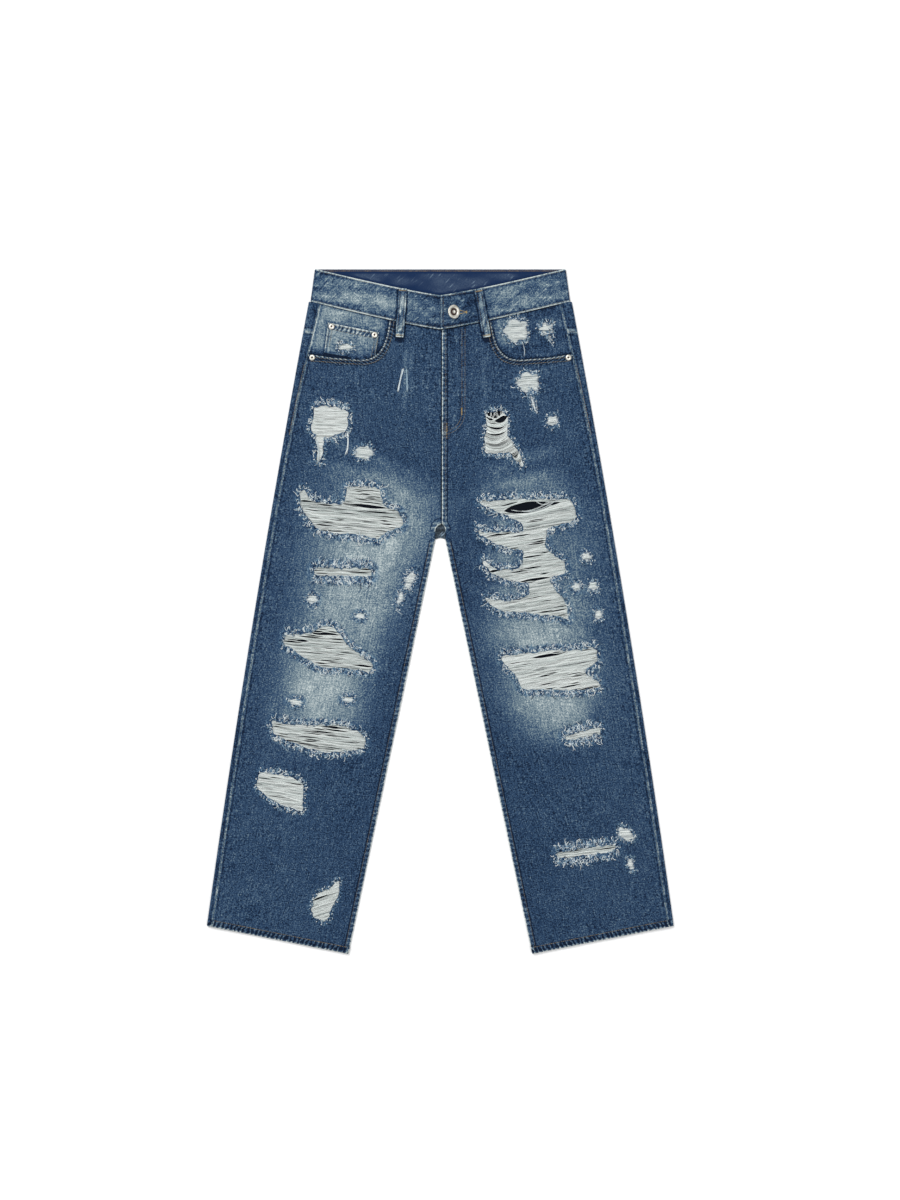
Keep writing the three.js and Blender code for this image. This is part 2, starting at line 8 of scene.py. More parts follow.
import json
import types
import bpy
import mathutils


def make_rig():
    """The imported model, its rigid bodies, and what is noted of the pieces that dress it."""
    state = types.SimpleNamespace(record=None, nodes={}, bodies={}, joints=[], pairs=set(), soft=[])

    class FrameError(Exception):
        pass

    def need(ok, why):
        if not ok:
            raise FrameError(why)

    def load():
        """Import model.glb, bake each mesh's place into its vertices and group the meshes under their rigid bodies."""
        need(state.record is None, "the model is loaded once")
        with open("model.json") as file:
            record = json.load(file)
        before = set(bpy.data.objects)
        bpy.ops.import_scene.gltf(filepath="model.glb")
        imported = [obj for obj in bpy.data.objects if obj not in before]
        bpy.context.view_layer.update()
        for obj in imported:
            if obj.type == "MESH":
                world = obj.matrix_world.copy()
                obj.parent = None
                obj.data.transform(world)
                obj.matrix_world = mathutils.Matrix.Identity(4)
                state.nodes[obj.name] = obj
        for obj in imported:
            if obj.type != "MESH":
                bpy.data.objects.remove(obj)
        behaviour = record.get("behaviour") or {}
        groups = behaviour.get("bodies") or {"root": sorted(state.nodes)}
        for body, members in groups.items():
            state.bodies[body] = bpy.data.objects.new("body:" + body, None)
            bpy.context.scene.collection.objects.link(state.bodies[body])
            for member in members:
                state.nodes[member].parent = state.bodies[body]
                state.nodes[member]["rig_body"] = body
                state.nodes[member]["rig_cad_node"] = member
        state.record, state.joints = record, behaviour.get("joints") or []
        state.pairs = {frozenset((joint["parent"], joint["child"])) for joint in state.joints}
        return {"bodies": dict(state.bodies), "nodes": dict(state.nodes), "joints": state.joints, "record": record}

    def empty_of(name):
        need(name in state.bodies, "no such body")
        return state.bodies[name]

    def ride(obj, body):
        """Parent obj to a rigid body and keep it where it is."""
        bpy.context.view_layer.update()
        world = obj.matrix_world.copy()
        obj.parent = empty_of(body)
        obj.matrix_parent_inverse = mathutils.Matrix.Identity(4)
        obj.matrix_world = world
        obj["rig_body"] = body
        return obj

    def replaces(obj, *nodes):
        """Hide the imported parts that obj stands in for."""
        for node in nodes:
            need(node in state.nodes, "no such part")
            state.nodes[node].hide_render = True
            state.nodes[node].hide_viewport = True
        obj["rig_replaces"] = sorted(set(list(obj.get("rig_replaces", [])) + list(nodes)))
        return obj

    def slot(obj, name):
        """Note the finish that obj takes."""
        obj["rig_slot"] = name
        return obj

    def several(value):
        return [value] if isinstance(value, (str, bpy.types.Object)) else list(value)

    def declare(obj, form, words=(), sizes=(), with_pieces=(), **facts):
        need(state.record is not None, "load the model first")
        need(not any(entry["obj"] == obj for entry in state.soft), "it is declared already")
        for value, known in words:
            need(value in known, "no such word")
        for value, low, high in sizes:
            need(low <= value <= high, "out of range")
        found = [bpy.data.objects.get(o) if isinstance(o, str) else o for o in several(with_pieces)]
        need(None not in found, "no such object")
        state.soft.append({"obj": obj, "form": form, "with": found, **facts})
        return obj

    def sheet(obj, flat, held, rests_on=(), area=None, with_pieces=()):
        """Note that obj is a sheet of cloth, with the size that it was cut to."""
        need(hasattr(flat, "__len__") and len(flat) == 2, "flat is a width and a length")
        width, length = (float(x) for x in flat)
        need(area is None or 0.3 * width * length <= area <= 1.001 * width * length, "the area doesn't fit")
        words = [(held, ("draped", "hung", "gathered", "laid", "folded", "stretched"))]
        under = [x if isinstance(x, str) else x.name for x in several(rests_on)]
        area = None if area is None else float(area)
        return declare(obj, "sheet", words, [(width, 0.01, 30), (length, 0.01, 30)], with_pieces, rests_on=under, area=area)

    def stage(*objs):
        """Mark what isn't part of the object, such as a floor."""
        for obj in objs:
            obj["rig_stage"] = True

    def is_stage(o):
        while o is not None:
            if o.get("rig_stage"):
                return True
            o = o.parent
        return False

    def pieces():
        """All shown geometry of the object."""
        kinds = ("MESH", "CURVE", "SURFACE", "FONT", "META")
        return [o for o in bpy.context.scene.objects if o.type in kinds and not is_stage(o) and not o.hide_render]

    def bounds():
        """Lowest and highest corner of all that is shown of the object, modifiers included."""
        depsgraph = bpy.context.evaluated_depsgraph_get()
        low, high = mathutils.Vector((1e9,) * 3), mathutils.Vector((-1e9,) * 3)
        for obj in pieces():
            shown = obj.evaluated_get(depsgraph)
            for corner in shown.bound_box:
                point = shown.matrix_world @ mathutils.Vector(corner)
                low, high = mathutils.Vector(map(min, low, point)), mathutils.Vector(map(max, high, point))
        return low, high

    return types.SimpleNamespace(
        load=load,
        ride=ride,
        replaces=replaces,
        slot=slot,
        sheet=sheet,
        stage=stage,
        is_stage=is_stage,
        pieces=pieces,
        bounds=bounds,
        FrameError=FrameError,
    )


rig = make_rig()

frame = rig.load()

import json
import logging
import math
from collections.abc import Callable
from dataclasses import dataclass, field
from enum import Enum

import bpy
import numpy as np

LOG = logging.getLogger("jeans")
Array = np.ndarray
Material, Object, Socket = bpy.types.Material, bpy.types.Object, bpy.types.NodeSocket
Pair, Four = tuple[float, float], tuple[float, float, float, float]
MM = 0.001
FAR = 99.0  # a distance, in mm, past which a seam has no effect on the cloth


# ---- Numbers ----


def lerp(a: Array | float, b: Array | float, t: Array | float) -> Array:
    """The value a share t of the way from a to b."""
    return a + (b - a) * t


def ease(x: Array | float, low: float, high: float) -> Array:
    """A smooth step: 0 below low, 1 above high, and 3t^2 - 2t^3 between."""
    t = np.clip((x - low) / (high - low), 0, 1)
    return t * t * (3 - 2 * t)


def bell(x: Array | float, width: float) -> Array:
    """A soft bump: e to the power of minus (x / width) squared."""
    return np.exp(-((x / width) ** 2))


def unit(v: Array) -> Array:
    """The vectors scaled to a length of 1."""
    return v / np.maximum(np.linalg.norm(v, axis=-1, keepdims=True), 1e-9)


def quarter_turn(v: Array) -> Array:
    """Vectors on the plane turned a quarter to their left."""
    return v[..., ::-1] * (-1, 1)


def coords(*parts: Array | float) -> Array:
    """Points from their coordinates, which are arrays or numbers."""
    return np.stack(np.broadcast_arrays(*parts), -1)


def length_along(line: Array) -> Array:
    """The length of a line of points up to each of them."""
    return np.concatenate([[0], np.cumsum(np.linalg.norm(np.diff(line, axis=0), axis=1))])


def word(side: int) -> str:
    """The wearer's side as a word."""
    return "left" if side > 0 else "right"


def linear(colour: str) -> Four:
    """A screen colour such as "#2c4a75" as the linear values that a shader takes."""
    levels = (int(colour[k : k + 2], 16) / 255 for k in (1, 3, 5))
    return (*(c / 12.92 if c < 0.04045 else ((c + 0.055) / 1.055) ** 2.4 for c in levels), 1.0)


@dataclass(frozen=True)
class Grain:
    """Smooth random values on a plane, the same on every run.

    A square lattice holds a random number at each corner, and a place takes the corners round
    it, blended by smooth steps.
    """

    seed: int
    cells: int = 64

    def at(self, x: Array, y: Array, size: float | Pair) -> Array:
        """Values from -1 to 1.

        Args:
            x, y: places in mm.
            size: a lattice cell's width and height in mm.
        Returns:
            One value for each place.
        """
        lattice = np.random.default_rng(self.seed).uniform(-1, 1, (self.cells, self.cells))
        across, along = (size, size) if np.isscalar(size) else size
        u, v = np.broadcast_arrays(x / across, y / along)
        i, j = np.floor(u).astype(int), np.floor(v).astype(int)
        a, b = ease(u - i, 0, 1), ease(v - j, 0, 1)

        def corner(p: int, q: int) -> Array:
            """The lattice's number at a corner of each place's cell."""
            return lattice[(i + p) % self.cells, (j + q) % self.cells]

        return lerp(lerp(corner(0, 0), corner(1, 0), a), lerp(corner(0, 1), corner(1, 1), a), b)


@dataclass(frozen=True)
class Outline:
    """A closed line of points on the plane."""

    points: Array

    def softened(self, cut: float = 0.14) -> "Outline":
        """Each corner is cut off between two points, this share along its edges."""
        after = np.roll(self.points, -1, 0)
        ends = [lerp(self.points, after, cut), lerp(self.points, after, 1 - cut)]
        return Outline(np.stack(ends, 1).reshape(-1, 2))

    def evenly(self, step: float) -> "Outline":
        """The same line with points a step apart, by interpolating along its length."""
        closed = np.vstack([self.points, self.points[:1]])
        length = length_along(closed)
        at = np.linspace(0, length[-1], max(int(length[-1] / step), 8), endpoint=False)
        return Outline(coords(*(np.interp(at, length, closed[:, k]) for k in (0, 1))))

    def ragged(self, amount: float, grain: Grain) -> "Outline":
        """Points moved by smooth noise of this amount."""
        x, y = self.points.T
        shift = [grain.at(a, b, 5.5) + 0.5 * grain.at(b, a, 2.4) for a, b in ((x, y), (y + 50, x))]
        return Outline(self.points + amount * coords(*shift))

    def outward(self) -> Array:
        """The unit normal at each point, away from the inside."""
        tangent = unit(np.roll(self.points, -1, 0) - np.roll(self.points, 1, 0))
        x, y = self.points.T
        turning = np.sum(x * np.roll(y, -1) - np.roll(x, -1) * y)
        return -quarter_turn(tangent) * np.sign(turning)

    def measure(self, places: Array) -> tuple[Array, Array]:
        """Where places are to the line.

        Each edge's nearest point is found by projecting on it, and the nearest of all is kept.
        A place is inside if a ray from it crosses an odd number of edges.

        Args:
            places: an array of shape (n, 2).
        Returns:
            The distance, positive inside, and the nearest point of the line.
        """
        a, b = self.points[None], np.roll(self.points, -1, 0)[None]
        p = places[:, None]
        share = np.clip(np.sum((p - a) * (b - a), -1) / np.sum((b - a) ** 2, -1), 0, 1)
        near = a + (b - a) * share[..., None]
        gap = np.linalg.norm(p - near, axis=-1)
        best = np.argmin(gap, 1)
        rows = np.arange(len(places))
        rise = np.where(b[..., 1] == a[..., 1], 1, b[..., 1] - a[..., 1])
        cross = a[..., 0] + (p[..., 1] - a[..., 1]) / rise * (b[..., 0] - a[..., 0])
        hits = ((a[..., 1] > p[..., 1]) != (b[..., 1] > p[..., 1])) & (p[..., 0] < cross)
        inside = hits.sum(1) % 2 == 1
        return np.where(inside, gap[rows, best], -gap[rows, best]), near[rows, best]

    def distance(self, x: Array, y: Array, reach: float = 40) -> tuple[Array, Array]:
        """As measure, on arrays of any shape, and only for places within reach of the line.

        Args:
            x, y: the places.
            reach: the furthest that a place is measured.
        Returns:
            The distance, which is -FAR past the reach, and the nearest point.
        """
        places = coords(x, y).reshape(-1, 2)
        low, high = self.points.min(0) - reach, self.points.max(0) + reach
        close = np.all((places > low) & (places < high), 1)
        gap, near = np.full(len(places), -FAR), places.copy()
        if close.any():
            gap[close], near[close] = self.measure(places[close])
        return gap.reshape(x.shape), near.reshape(*x.shape, 2)

    def crossings(self, centre: Array, along: Array, pitch: float) -> tuple[Array, Array, Array]:
        """Where parallel lines a pitch apart cross the inside.

        Args:
            centre: the origin of the offsets.
            along: the lines' unit direction.
            pitch: the distance between two lines.
        Returns:
            The offset of each stretch across the lines, and its start and end along them.
        """
        s, o = (self.points - centre) @ along, (self.points - centre) @ quarter_turn(along)
        lines = np.arange(o.min() + pitch / 2, o.max(), pitch)[:, None]
        s_next, o_next = np.roll(s, -1)[None], np.roll(o, -1)[None]
        hit = (o[None] > lines) != (o_next > lines)
        rise = np.where(hit, o_next - o[None], 1)
        at = np.where(hit, s[None] + (lines - o[None]) / rise * (s_next - s[None]), np.inf)
        at.sort(axis=1)
        count = at.shape[1] // 2 * 2
        start, end = at[:, 0:count:2], at[:, 1:count:2]
        found = np.isfinite(end) & (end - np.where(np.isfinite(start), start, 0) > 1.2)
        return np.broadcast_to(lines, start.shape)[found], start[found], end[found]


# ---- Meshes ----


@dataclass
class Shell:
    """Points in mm, faces by their number of corners, and values on the points."""

    points: Array
    faces: list[Array]
    values: dict[str, Array] = field(default_factory=dict)
    flat: list[bool] = field(default_factory=list)

    def area(self) -> float:
        """The area of the first set of faces, in square metres, by their diagonals' product."""
        a, b, c, d = (self.points[self.faces[0][:, k]] for k in range(4))
        return float(np.linalg.norm(np.cross(c - a, d - b), axis=1).sum() / 2 * MM * MM)

    @staticmethod
    def joined(shells: list["Shell"]) -> "Shell":
        """All the shells in one, with the values that they share."""
        starts = np.cumsum([0] + [len(s.points) for s in shells[:-1]])
        sizes = sorted({f.shape[1] for s in shells for f in s.faces})
        faces = []
        for size in sizes:
            sets = [f + at for s, at in zip(shells, starts) for f in s.faces if f.shape[1] == size]
            faces.append(np.vstack(sets))
        names = set.intersection(*(set(s.values) for s in shells))
        values = {n: np.concatenate([s.values[n] for s in shells]) for n in sorted(names)}
        return Shell(np.vstack([s.points for s in shells]), faces, values)

    def mesh(self, name: str, material: Material) -> Object:
        """A new object with this mesh, in metres, and one material."""
        data = bpy.data.meshes.new(name)
        sizes = np.concatenate([np.full(len(f), f.shape[1]) for f in self.faces])
        corners = np.concatenate([f.ravel() for f in self.faces]).astype(np.int32)
        data.vertices.add(len(self.points))
        data.vertices.foreach_set("co", (self.points * MM).astype(np.float32).ravel())
        data.loops.add(len(corners))
        data.loops.foreach_set("vertex_index", corners)
        data.polygons.add(len(sizes))
        starts = np.concatenate([[0], np.cumsum(sizes)[:-1]])
        data.polygons.foreach_set("loop_start", starts.astype(np.int32))
        hard = self.flat or [False] * len(self.faces)
        smooth = np.concatenate([np.full(len(f), not h) for f, h in zip(self.faces, hard)])
        data.update(calc_edges=True)
        data.polygons.foreach_set("use_smooth", smooth)
        for key, value in self.values.items():
            kind, part = ("FLOAT_VECTOR", "vector") if value.ndim == 2 else ("FLOAT", "value")
            numbers = data.attributes.new(key, kind, "POINT").data
            numbers.foreach_set(part, value.astype(np.float32).ravel())
        data.materials.append(material)
        piece = bpy.data.objects.new(name, data)
        bpy.context.scene.collection.objects.link(piece)
        return piece

    def piece(self, name: str, material: Material, slot: str, node: str = "") -> Object:
        """A new object with a colour slot, in place of a CAD node if one is named."""
        piece = self.mesh(name, material)
        if node:
            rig.replaces(piece, node)
        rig.slot(piece, slot)
        return piece


def wall(middle: Array, thickness: Array | float, keep: Array, values: dict[str, Array]) -> Shell:
    """A closed wall of cloth round a grid of points.

    The grid's unit normal is its down direction crossed with its across direction. Each point
    gives one half the thickness along the normal and one against it. Every kept cell has a face
    on both sides, and every edge of a kept cell without a kept neighbour has a rim face.

    Args:
        middle: points of shape (rows, columns, 3).
        thickness: of the cloth, one number or one for each point.
        keep: which cells are cloth, of shape (rows - 1, columns - 1).
        values: numbers or vectors on the points. The value "inside" is a Layer's, and becomes 1
            on the points of that side and 0 on the others.
    Returns:
        The shell, whose first set of faces is the outer and inner sides.
    """
    rows, columns = middle.shape[:2]
    below = rows * columns
    normal = unit(np.cross(np.gradient(middle, axis=0), np.gradient(middle, axis=1)))
    half = np.broadcast_to(np.asarray(thickness, float), (rows, columns))[..., None] / 2
    points = np.concatenate([(middle + step * half * normal).reshape(-1, 3) for step in (1, -1)])
    index = np.arange(below).reshape(rows, columns)
    a, b, c, d = index[:-1, :-1], index[1:, :-1], index[1:, 1:], index[:-1, 1:]
    top = np.stack([a, b, c, d], -1)[keep]
    sides = np.vstack([top, top[:, ::-1] + below])
    near = np.pad(keep, 1)
    rims = []
    for start, end, neighbour in (
        (a, b, near[1:-1, :-2]),
        (b, c, near[2:, 1:-1]),
        (c, d, near[1:-1, 2:]),
        (d, a, near[:-2, 1:-1]),
    ):
        open_edge = keep & ~neighbour
        p, q = start[open_edge], end[open_edge]
        rims.append(np.stack([q, p, p + below, q + below], -1))
    rim = np.vstack(rims)
    inside = values.pop("inside")
    both = {k: np.concatenate([v.reshape(below, *v.shape[2:])] * 2) for k, v in values.items()}
    both["inside"] = np.repeat([1.0, 0.0] if inside > 0 else [0.0, 1.0], below)
    used = np.unique(np.concatenate([sides.ravel(), rim.ravel()]))
    renumber = np.zeros(2 * below, int)
    renumber[used] = np.arange(len(used))
    kept_values = {k: v[used] for k, v in both.items()}
    return Shell(points[used], [renumber[sides], renumber[rim]], kept_values, [False, True])


def loft(rings: Array, values: dict[str, Array]) -> Shell:
    """Closed skins through rings of points, with a flat cap at both ends.

    Args:
        rings: points of shape (pieces, stations, corners, 3). A ring's corners run clockwise
            when looked at from the next station.
        values: one number for each piece and station.
    Returns:
        The shell of all the pieces.
    """
    count, stations, corners, _ = rings.shape
    index = np.arange(rings[..., 0].size).reshape(count, stations, corners)
    after = np.roll(index, -1, 2)
    quads = np.stack([index[:, :-1], index[:, 1:], after[:, 1:], after[:, :-1]], -1).reshape(-1, 4)
    caps = np.vstack([index[:, 0], index[:, -1, ::-1]])
    spread = {k: np.repeat(np.broadcast_to(v, (count, stations)).ravel(), corners) for k, v in values.items()}
    if corners == 4:
        return Shell(rings.reshape(-1, 3), [np.vstack([quads, caps])], spread)
    return Shell(rings.reshape(-1, 3), [quads, caps], spread, [False, True])


def tubes(paths: Array, radius: Array | float, corners: int, values: dict[str, Array]) -> Shell:
    """Round threads along paths.

    A ring stands across the path's direction at each point, at the given radius, on the two
    directions that are square to the path, one of them level.

    Args:
        paths: points of shape (pieces, stations, 3).
        radius: one number, or one for each piece and station.
        corners: the ring's number of points.
        values: one number for each piece and station.
    Returns:
        The shell of all the threads.
    """
    ahead = unit(np.gradient(paths, axis=1))
    level = unit(np.cross(ahead, np.array([0.013, 0.007, 1.0])))
    lift = np.cross(level, ahead)
    angle = 2 * np.pi * (np.arange(corners) + 0.5) / corners
    size = np.broadcast_to(np.asarray(radius, float), paths.shape[:2])[..., None, None]
    ring = np.cos(angle)[:, None] * level[:, :, None] + np.sin(angle)[:, None] * lift[:, :, None]
    return loft(paths[:, :, None] + size * ring, values)


def turned(profile: Array, corners: int, values: dict[str, Array]) -> Shell:
    """A profile of radius and height spun round the upright axis, closed at both poles.

    Args:
        profile: points from the bottom pole to the top one, as radius and height.
        corners: the number of points round.
        values: one number for each point of the profile.
    Returns:
        The closed shell.
    """
    angle = -2 * np.pi * np.arange(corners) / corners
    radius = np.maximum(profile[:, :1], 0.02)
    rings = coords(radius * np.cos(angle), radius * np.sin(angle), profile[:, 1:])
    return loft(rings[None], {k: v[None] for k, v in values.items()})


# ---- Materials ----


def operator(operation: str, swapped: bool = False) -> Callable[["Val", "Val | float"], "Val"]:
    """The method behind one of Python's operators on a Val, and behind its reflected form.

    Args:
        operation: the Math node's operation.
        swapped: whether the other number comes first.
    Returns:
        The method.
    """

    def method(self: "Val", other: "Val | float") -> "Val":
        """The result of the operator's Math node."""
        return self.math(operation, *((other, self) if swapped else (self, other)))

    return method


class Val:
    """A number in a shader. Python's operators on it add Math nodes."""

    def __init__(self, tree: bpy.types.NodeTree, socket: Socket) -> None:
        """Keeps the tree and the socket that the number comes from."""
        self.tree, self.socket = tree, socket

    def math(self, operation: str, *inputs: "Val | float", clamp: bool = False) -> "Val":
        """The result of a Math node on these inputs.

        Args:
            operation: what the node does.
            inputs: numbers in the shader, or plain ones.
            clamp: whether the result is held between 0 and 1.
        Returns:
            The result.
        """
        node = self.tree.nodes.new("ShaderNodeMath")
        node.operation, node.use_clamp = operation, clamp
        for socket, value in zip(node.inputs, inputs):
            if isinstance(value, Val):
                self.tree.links.new(value.socket, socket)
            else:
                socket.default_value = value
        return Val(self.tree, node.outputs[0])

    __add__, __radd__ = operator("ADD"), operator("ADD", True)
    __sub__, __rsub__ = operator("SUBTRACT"), operator("SUBTRACT", True)
    __mul__, __rmul__ = operator("MULTIPLY"), operator("MULTIPLY", True)
    __truediv__ = operator("DIVIDE")

    def sine(self) -> "Val":
        """The sine of an angle in radians."""
        return self.math("SINE", self)

    def clipped(self) -> "Val":
        """self held between 0 and 1."""
        return self.math("ADD", self, 0.0, clamp=True)

    def ease(self, low: float, high: float) -> "Val":
        """A smooth step from 0 at low to 1 at high. low may be the larger of the two."""
        node = self.tree.nodes.new("ShaderNodeMapRange")
        node.interpolation_type = "SMOOTHSTEP"
        self.tree.links.new(self.socket, node.inputs["Value"])
        ends = (*sorted((low, high)), *((1, 0) if low > high else (0, 1)))
        for name, value in zip(("From Min", "From Max", "To Min", "To Max"), ends):
            node.inputs[name].default_value = value
        return Val(self.tree, node.outputs["Result"])

    def bell(self, middle: float, width: float) -> "Val":
        """A bump at middle: a smooth step up and one down, each a width long."""
        return self.ease(middle - width, middle) * self.ease(middle + width, middle)


class Paint:
    """A material under construction, with one Principled shader."""

    def __init__(self, name: str, **constants: float) -> None:
        """Makes the material, sets the shader's constant sockets and finds the place in mm.

        Args:
            name: the material's name.
            constants: values by socket name, with _ for a space.
        """
        self.material = bpy.data.materials.new(name)
        self.material.use_nodes = True
        self.tree = self.material.node_tree
        self.shader = self.tree.nodes["Principled BSDF"]
        for key, value in constants.items():
            self.shader.inputs[key.replace("_", " ")].default_value = value
        metres = self.node("ShaderNodeTexCoord").outputs["Object"]
        self.place = self.stretched(metres, (1 / MM, 1 / MM, 1 / MM))

    def node(self, kind: str, settings: dict | None = None, sockets: dict | None = None) -> bpy.types.Node:
        """A new node.

        Args:
            kind: the node's type.
            settings: its properties, set first. "stops" are a ramp's places and colours.
            sockets: the value of each input, or the socket or Val that is linked to it.
        Returns:
            The node.
        """
        node = self.tree.nodes.new(kind)
        for key, value in (settings or {}).items():
            if key == "stops":
                ramp = node.color_ramp
                while len(ramp.elements) < len(value):
                    ramp.elements.new(0.5)
                for element, (at, colour) in zip(ramp.elements, value):
                    element.position, element.color = at, linear(colour)
            else:
                setattr(node, key, value)
        for key, value in (sockets or {}).items():
            if isinstance(value, (Val, Socket)):
                self.tree.links.new(value.socket if isinstance(value, Val) else value, node.inputs[key])
            else:
                node.inputs[key].default_value = value
        return node

    def number(self, name: str) -> Val:
        """The mesh's own number of this name."""
        return Val(self.tree, self.node("ShaderNodeAttribute", {"attribute_name": name}).outputs["Fac"])

    def vector(self, name: str) -> Socket:
        """The mesh's own vector of this name."""
        return self.node("ShaderNodeAttribute", {"attribute_name": name}).outputs["Vector"]

    def stretched(self, vector: Socket, by: tuple[float, ...]) -> Socket:
        """The vector multiplied part by part."""
        return self.node("ShaderNodeVectorMath", {"operation": "MULTIPLY"}, {0: vector, 1: by}).outputs[0]

    def part(self, vector: Socket, name: str) -> Val:
        """The X, Y or Z of a vector."""
        return Val(self.tree, self.node("ShaderNodeSeparateXYZ", {}, {0: vector}).outputs[name])

    def noise(self, vector: Socket, size: float, detail: float = 1.0) -> Val:
        """Smooth noise from 0 to 1 whose blots are about this size, in the vector's own unit."""
        sockets = {"Vector": vector, "Scale": 0.7 / size, "Detail": detail, "Roughness": 0.6}
        return Val(self.tree, self.node("ShaderNodeTexNoise", {}, sockets).outputs[0])

    def ramp(self, value: Val, stops: tuple[tuple[float, str], ...]) -> Socket:
        """The colour at a value between the stops."""
        return self.node("ShaderNodeValToRGB", {"stops": stops}, {"Fac": value}).outputs["Color"]

    def mixed(self, share: Val, a: Socket | str, b: Socket | str) -> Socket:
        """Colour a turned into colour b by a share from 0 to 1."""
        a, b = (linear(c) if isinstance(c, str) else c for c in (a, b))
        return self.node("ShaderNodeMix", {"data_type": "RGBA"}, {0: share, 6: a, 7: b}).outputs[2]

    def wear(self, name: str, value: Val | Socket) -> None:
        """Links a value to one of the shader's sockets."""
        self.tree.links.new(value.socket if isinstance(value, Val) else value, self.shader.inputs[name])

    def bumped(self, height: Val, depth: float) -> None:
        """Gives the surface a relief of this depth, in metres."""
        bump = self.node("ShaderNodeBump", {}, {"Strength": 1.0, "Distance": depth, "Height": height})
        self.wear("Normal", bump.outputs["Normal"])


@dataclass(frozen=True)
class DenimFinish:
    """Blue denim whose dye wears off: seams, folds and faded places show the pale weft.

    Its inside face is near-black by default, a painted shadow for what shows through rips.
    """

    name: str
    # The inside face's colour: by default near-black, a painted shadow for what shows through rips; the waistband
    # gives its own dark blue.
    lining: str = "#0c1018"
    rope: float = 0.3
    edge: float = 0.3
    strokes: float = 0.0
    reach: float = 11.0
    stops: tuple[tuple[float, str], ...] = (
        (0.0, "#0f1b2e"), (0.2, "#223956"), (0.4, "#39516c"),
        (0.6, "#647884"), (0.8, "#919fa4"), (1.0, "#c3cdcc"),
    )

    def made(self) -> Material:
        """The material.

        The dye left at a place is a number: how much the cloth has paled, less the painted shade that a
        piece gives it, plus speckle, yarn streaks along the warp and broad clouds, plus pale worn ridges
        and dark lines beside seams, one of them a painted shadow groove, plus a band round rips mottled
        with the curls' blue and pale colours and their painted light and shade. A ramp turns it into colour.
        """
        p = Paint(self.name, Roughness=0.92, Specular_IOR_Level=0.08)
        place, weave = p.place, p.vector("cloth")
        fine, coarse = p.noise(place, 1.25, 2.0) - 0.5, p.noise(place, 2.6, 2.0) - 0.5
        streak = p.noise(p.stretched(weave, (1.0, 0.1, 1.0)), 1.5, 1.0) - 0.5
        slub = p.noise(p.stretched(weave, (0.08, 1.0, 1.0)), 1.4, 1.0) - 0.5
        cloud = p.noise(place, 34.0, 3.0) - 0.5
        # The mesh's wear number: the dye gone, less the painted shade that some pieces add, such as under the
        # waistband and beside the belt loops.
        fade_and_shade = p.number("wear")
        speckle = fine * (1.6 - fade_and_shade.clipped() * 0.5)
        v = 0.222 + fade_and_shade * 0.56 + speckle + coarse * 0.4 + streak * 0.4 + slub * 0.2 + cloud * 0.16
        x, y = p.part(place, "X"), p.part(place, "Y")
        slanting = p.node("ShaderNodeCombineXYZ", {}, {"X": x - y, "Y": (x + y) * 0.1}).outputs[0]
        stroke = p.noise(slanting, 2.4, 2.0)
        v = v + (stroke.ease(0.52, 0.7) - stroke.ease(0.46, 0.3)) * self.strokes

        jitter = p.noise(place, 5.0, 1.0)
        side, inner = p.number("side"), p.number("inner")
        fold, along = p.number("fold"), p.number("along")
        v = v + side.ease(2.0, 0.6) * (jitter * 0.7 - 0.03) - side.bell(3.7, 1.9) * 0.17
        pucker = ((along * (2 * math.pi / 7.5)) + jitter * 7.0).sine()
        felled = inner.ease(8.4, 7.2)
        v = v + inner.ease(2.3, 0.9) * (jitter * 0.4 + 0.4) + felled * (pucker * 0.17 + jitter * 0.34 - 0.13)
        # A dark line just past the felled seam; on the right front beside the middle seam it is a painted shadow
        # groove.
        v = v - inner.bell(8.2, 1.6) * 0.4
        rope = (along * (2 * math.pi / 6.3) + fold * 0.5 + jitter * 8.0).sine()
        banded = fold.ease(self.reach, self.reach - 2.5)
        v = v + banded * (rope * self.rope - self.rope * 0.35) - fold.bell(4.2, 1.8) * 0.14
        v = v + fold.ease(2.4, 1.0) * (self.edge + jitter * 0.4)
        frill = p.number("frill")
        curl_flecks_and_shade = p.noise(place, 1.7, 2.0) - 0.5
        # Round rips the cloth is mottled with the curls: their blue and pale colours, and painted light and shade
        # among them.
        v = v * (1 - frill * 0.85) + frill * (curl_flecks_and_shade * 2.6 + 0.2)
        colour = p.ramp(v.clipped(), self.stops)
        tinted = p.mixed((frill * 0.9).clipped(), colour, p.ramp(v.clipped(), self.curled()))
        scratched = fade_and_shade * (fine * 3.0 + stroke.ease(0.6, 0.72) * 4.5 + 1.0)
        # The garment's inside face: the inside colour, which is a painted shadow on the legs, paled where the cloth is
        # rubbed.
        back = p.mixed(scratched.clipped(), self.lining, "#8fa5b8")
        p.wear("Base Color", p.mixed(p.number("inside"), tinted, back))
        twill = ((p.part(weave, "X") + p.part(weave, "Y")) * (2 * math.pi / 1.3)).sine()
        relief = fine * 1.6 + coarse * 0.8 + twill * 0.25 + streak * 0.5 + banded * rope * (self.rope * 7)
        p.bumped(relief + felled * pucker * 1.2 + frill * curl_flecks_and_shade * 4.0, 0.0003)
        return p.material

    def curled(self) -> tuple[tuple[float, str], ...]:
        """The bluer colours of the cut ends, from shadow to light."""
        return ((0.0, "#0d1b30"), (0.3, "#365473"), (0.6, "#7d9db2"), (1.0, "#dfe8ea"))


@dataclass(frozen=True)
class YarnFinish:
    """Twisted thread, whose colour runs along a ramp by its own tint."""

    name: str
    colours: tuple[str, ...]
    stops: tuple[float, ...] = (0.0, 0.35, 0.65, 1.0)

    def made(self) -> Material:
        """The material: the tint, with fine noise along the thread."""
        p = Paint(self.name, Roughness=0.85, Specular_IOR_Level=0.2)
        fluff = p.noise(p.place, 1.5, 2.0) - 0.5
        tint = p.number("tint") + fluff * 0.25
        p.wear("Base Color", p.ramp(tint.clipped(), tuple(zip(self.stops, self.colours))))
        p.bumped(fluff, 0.0002)
        return p.material


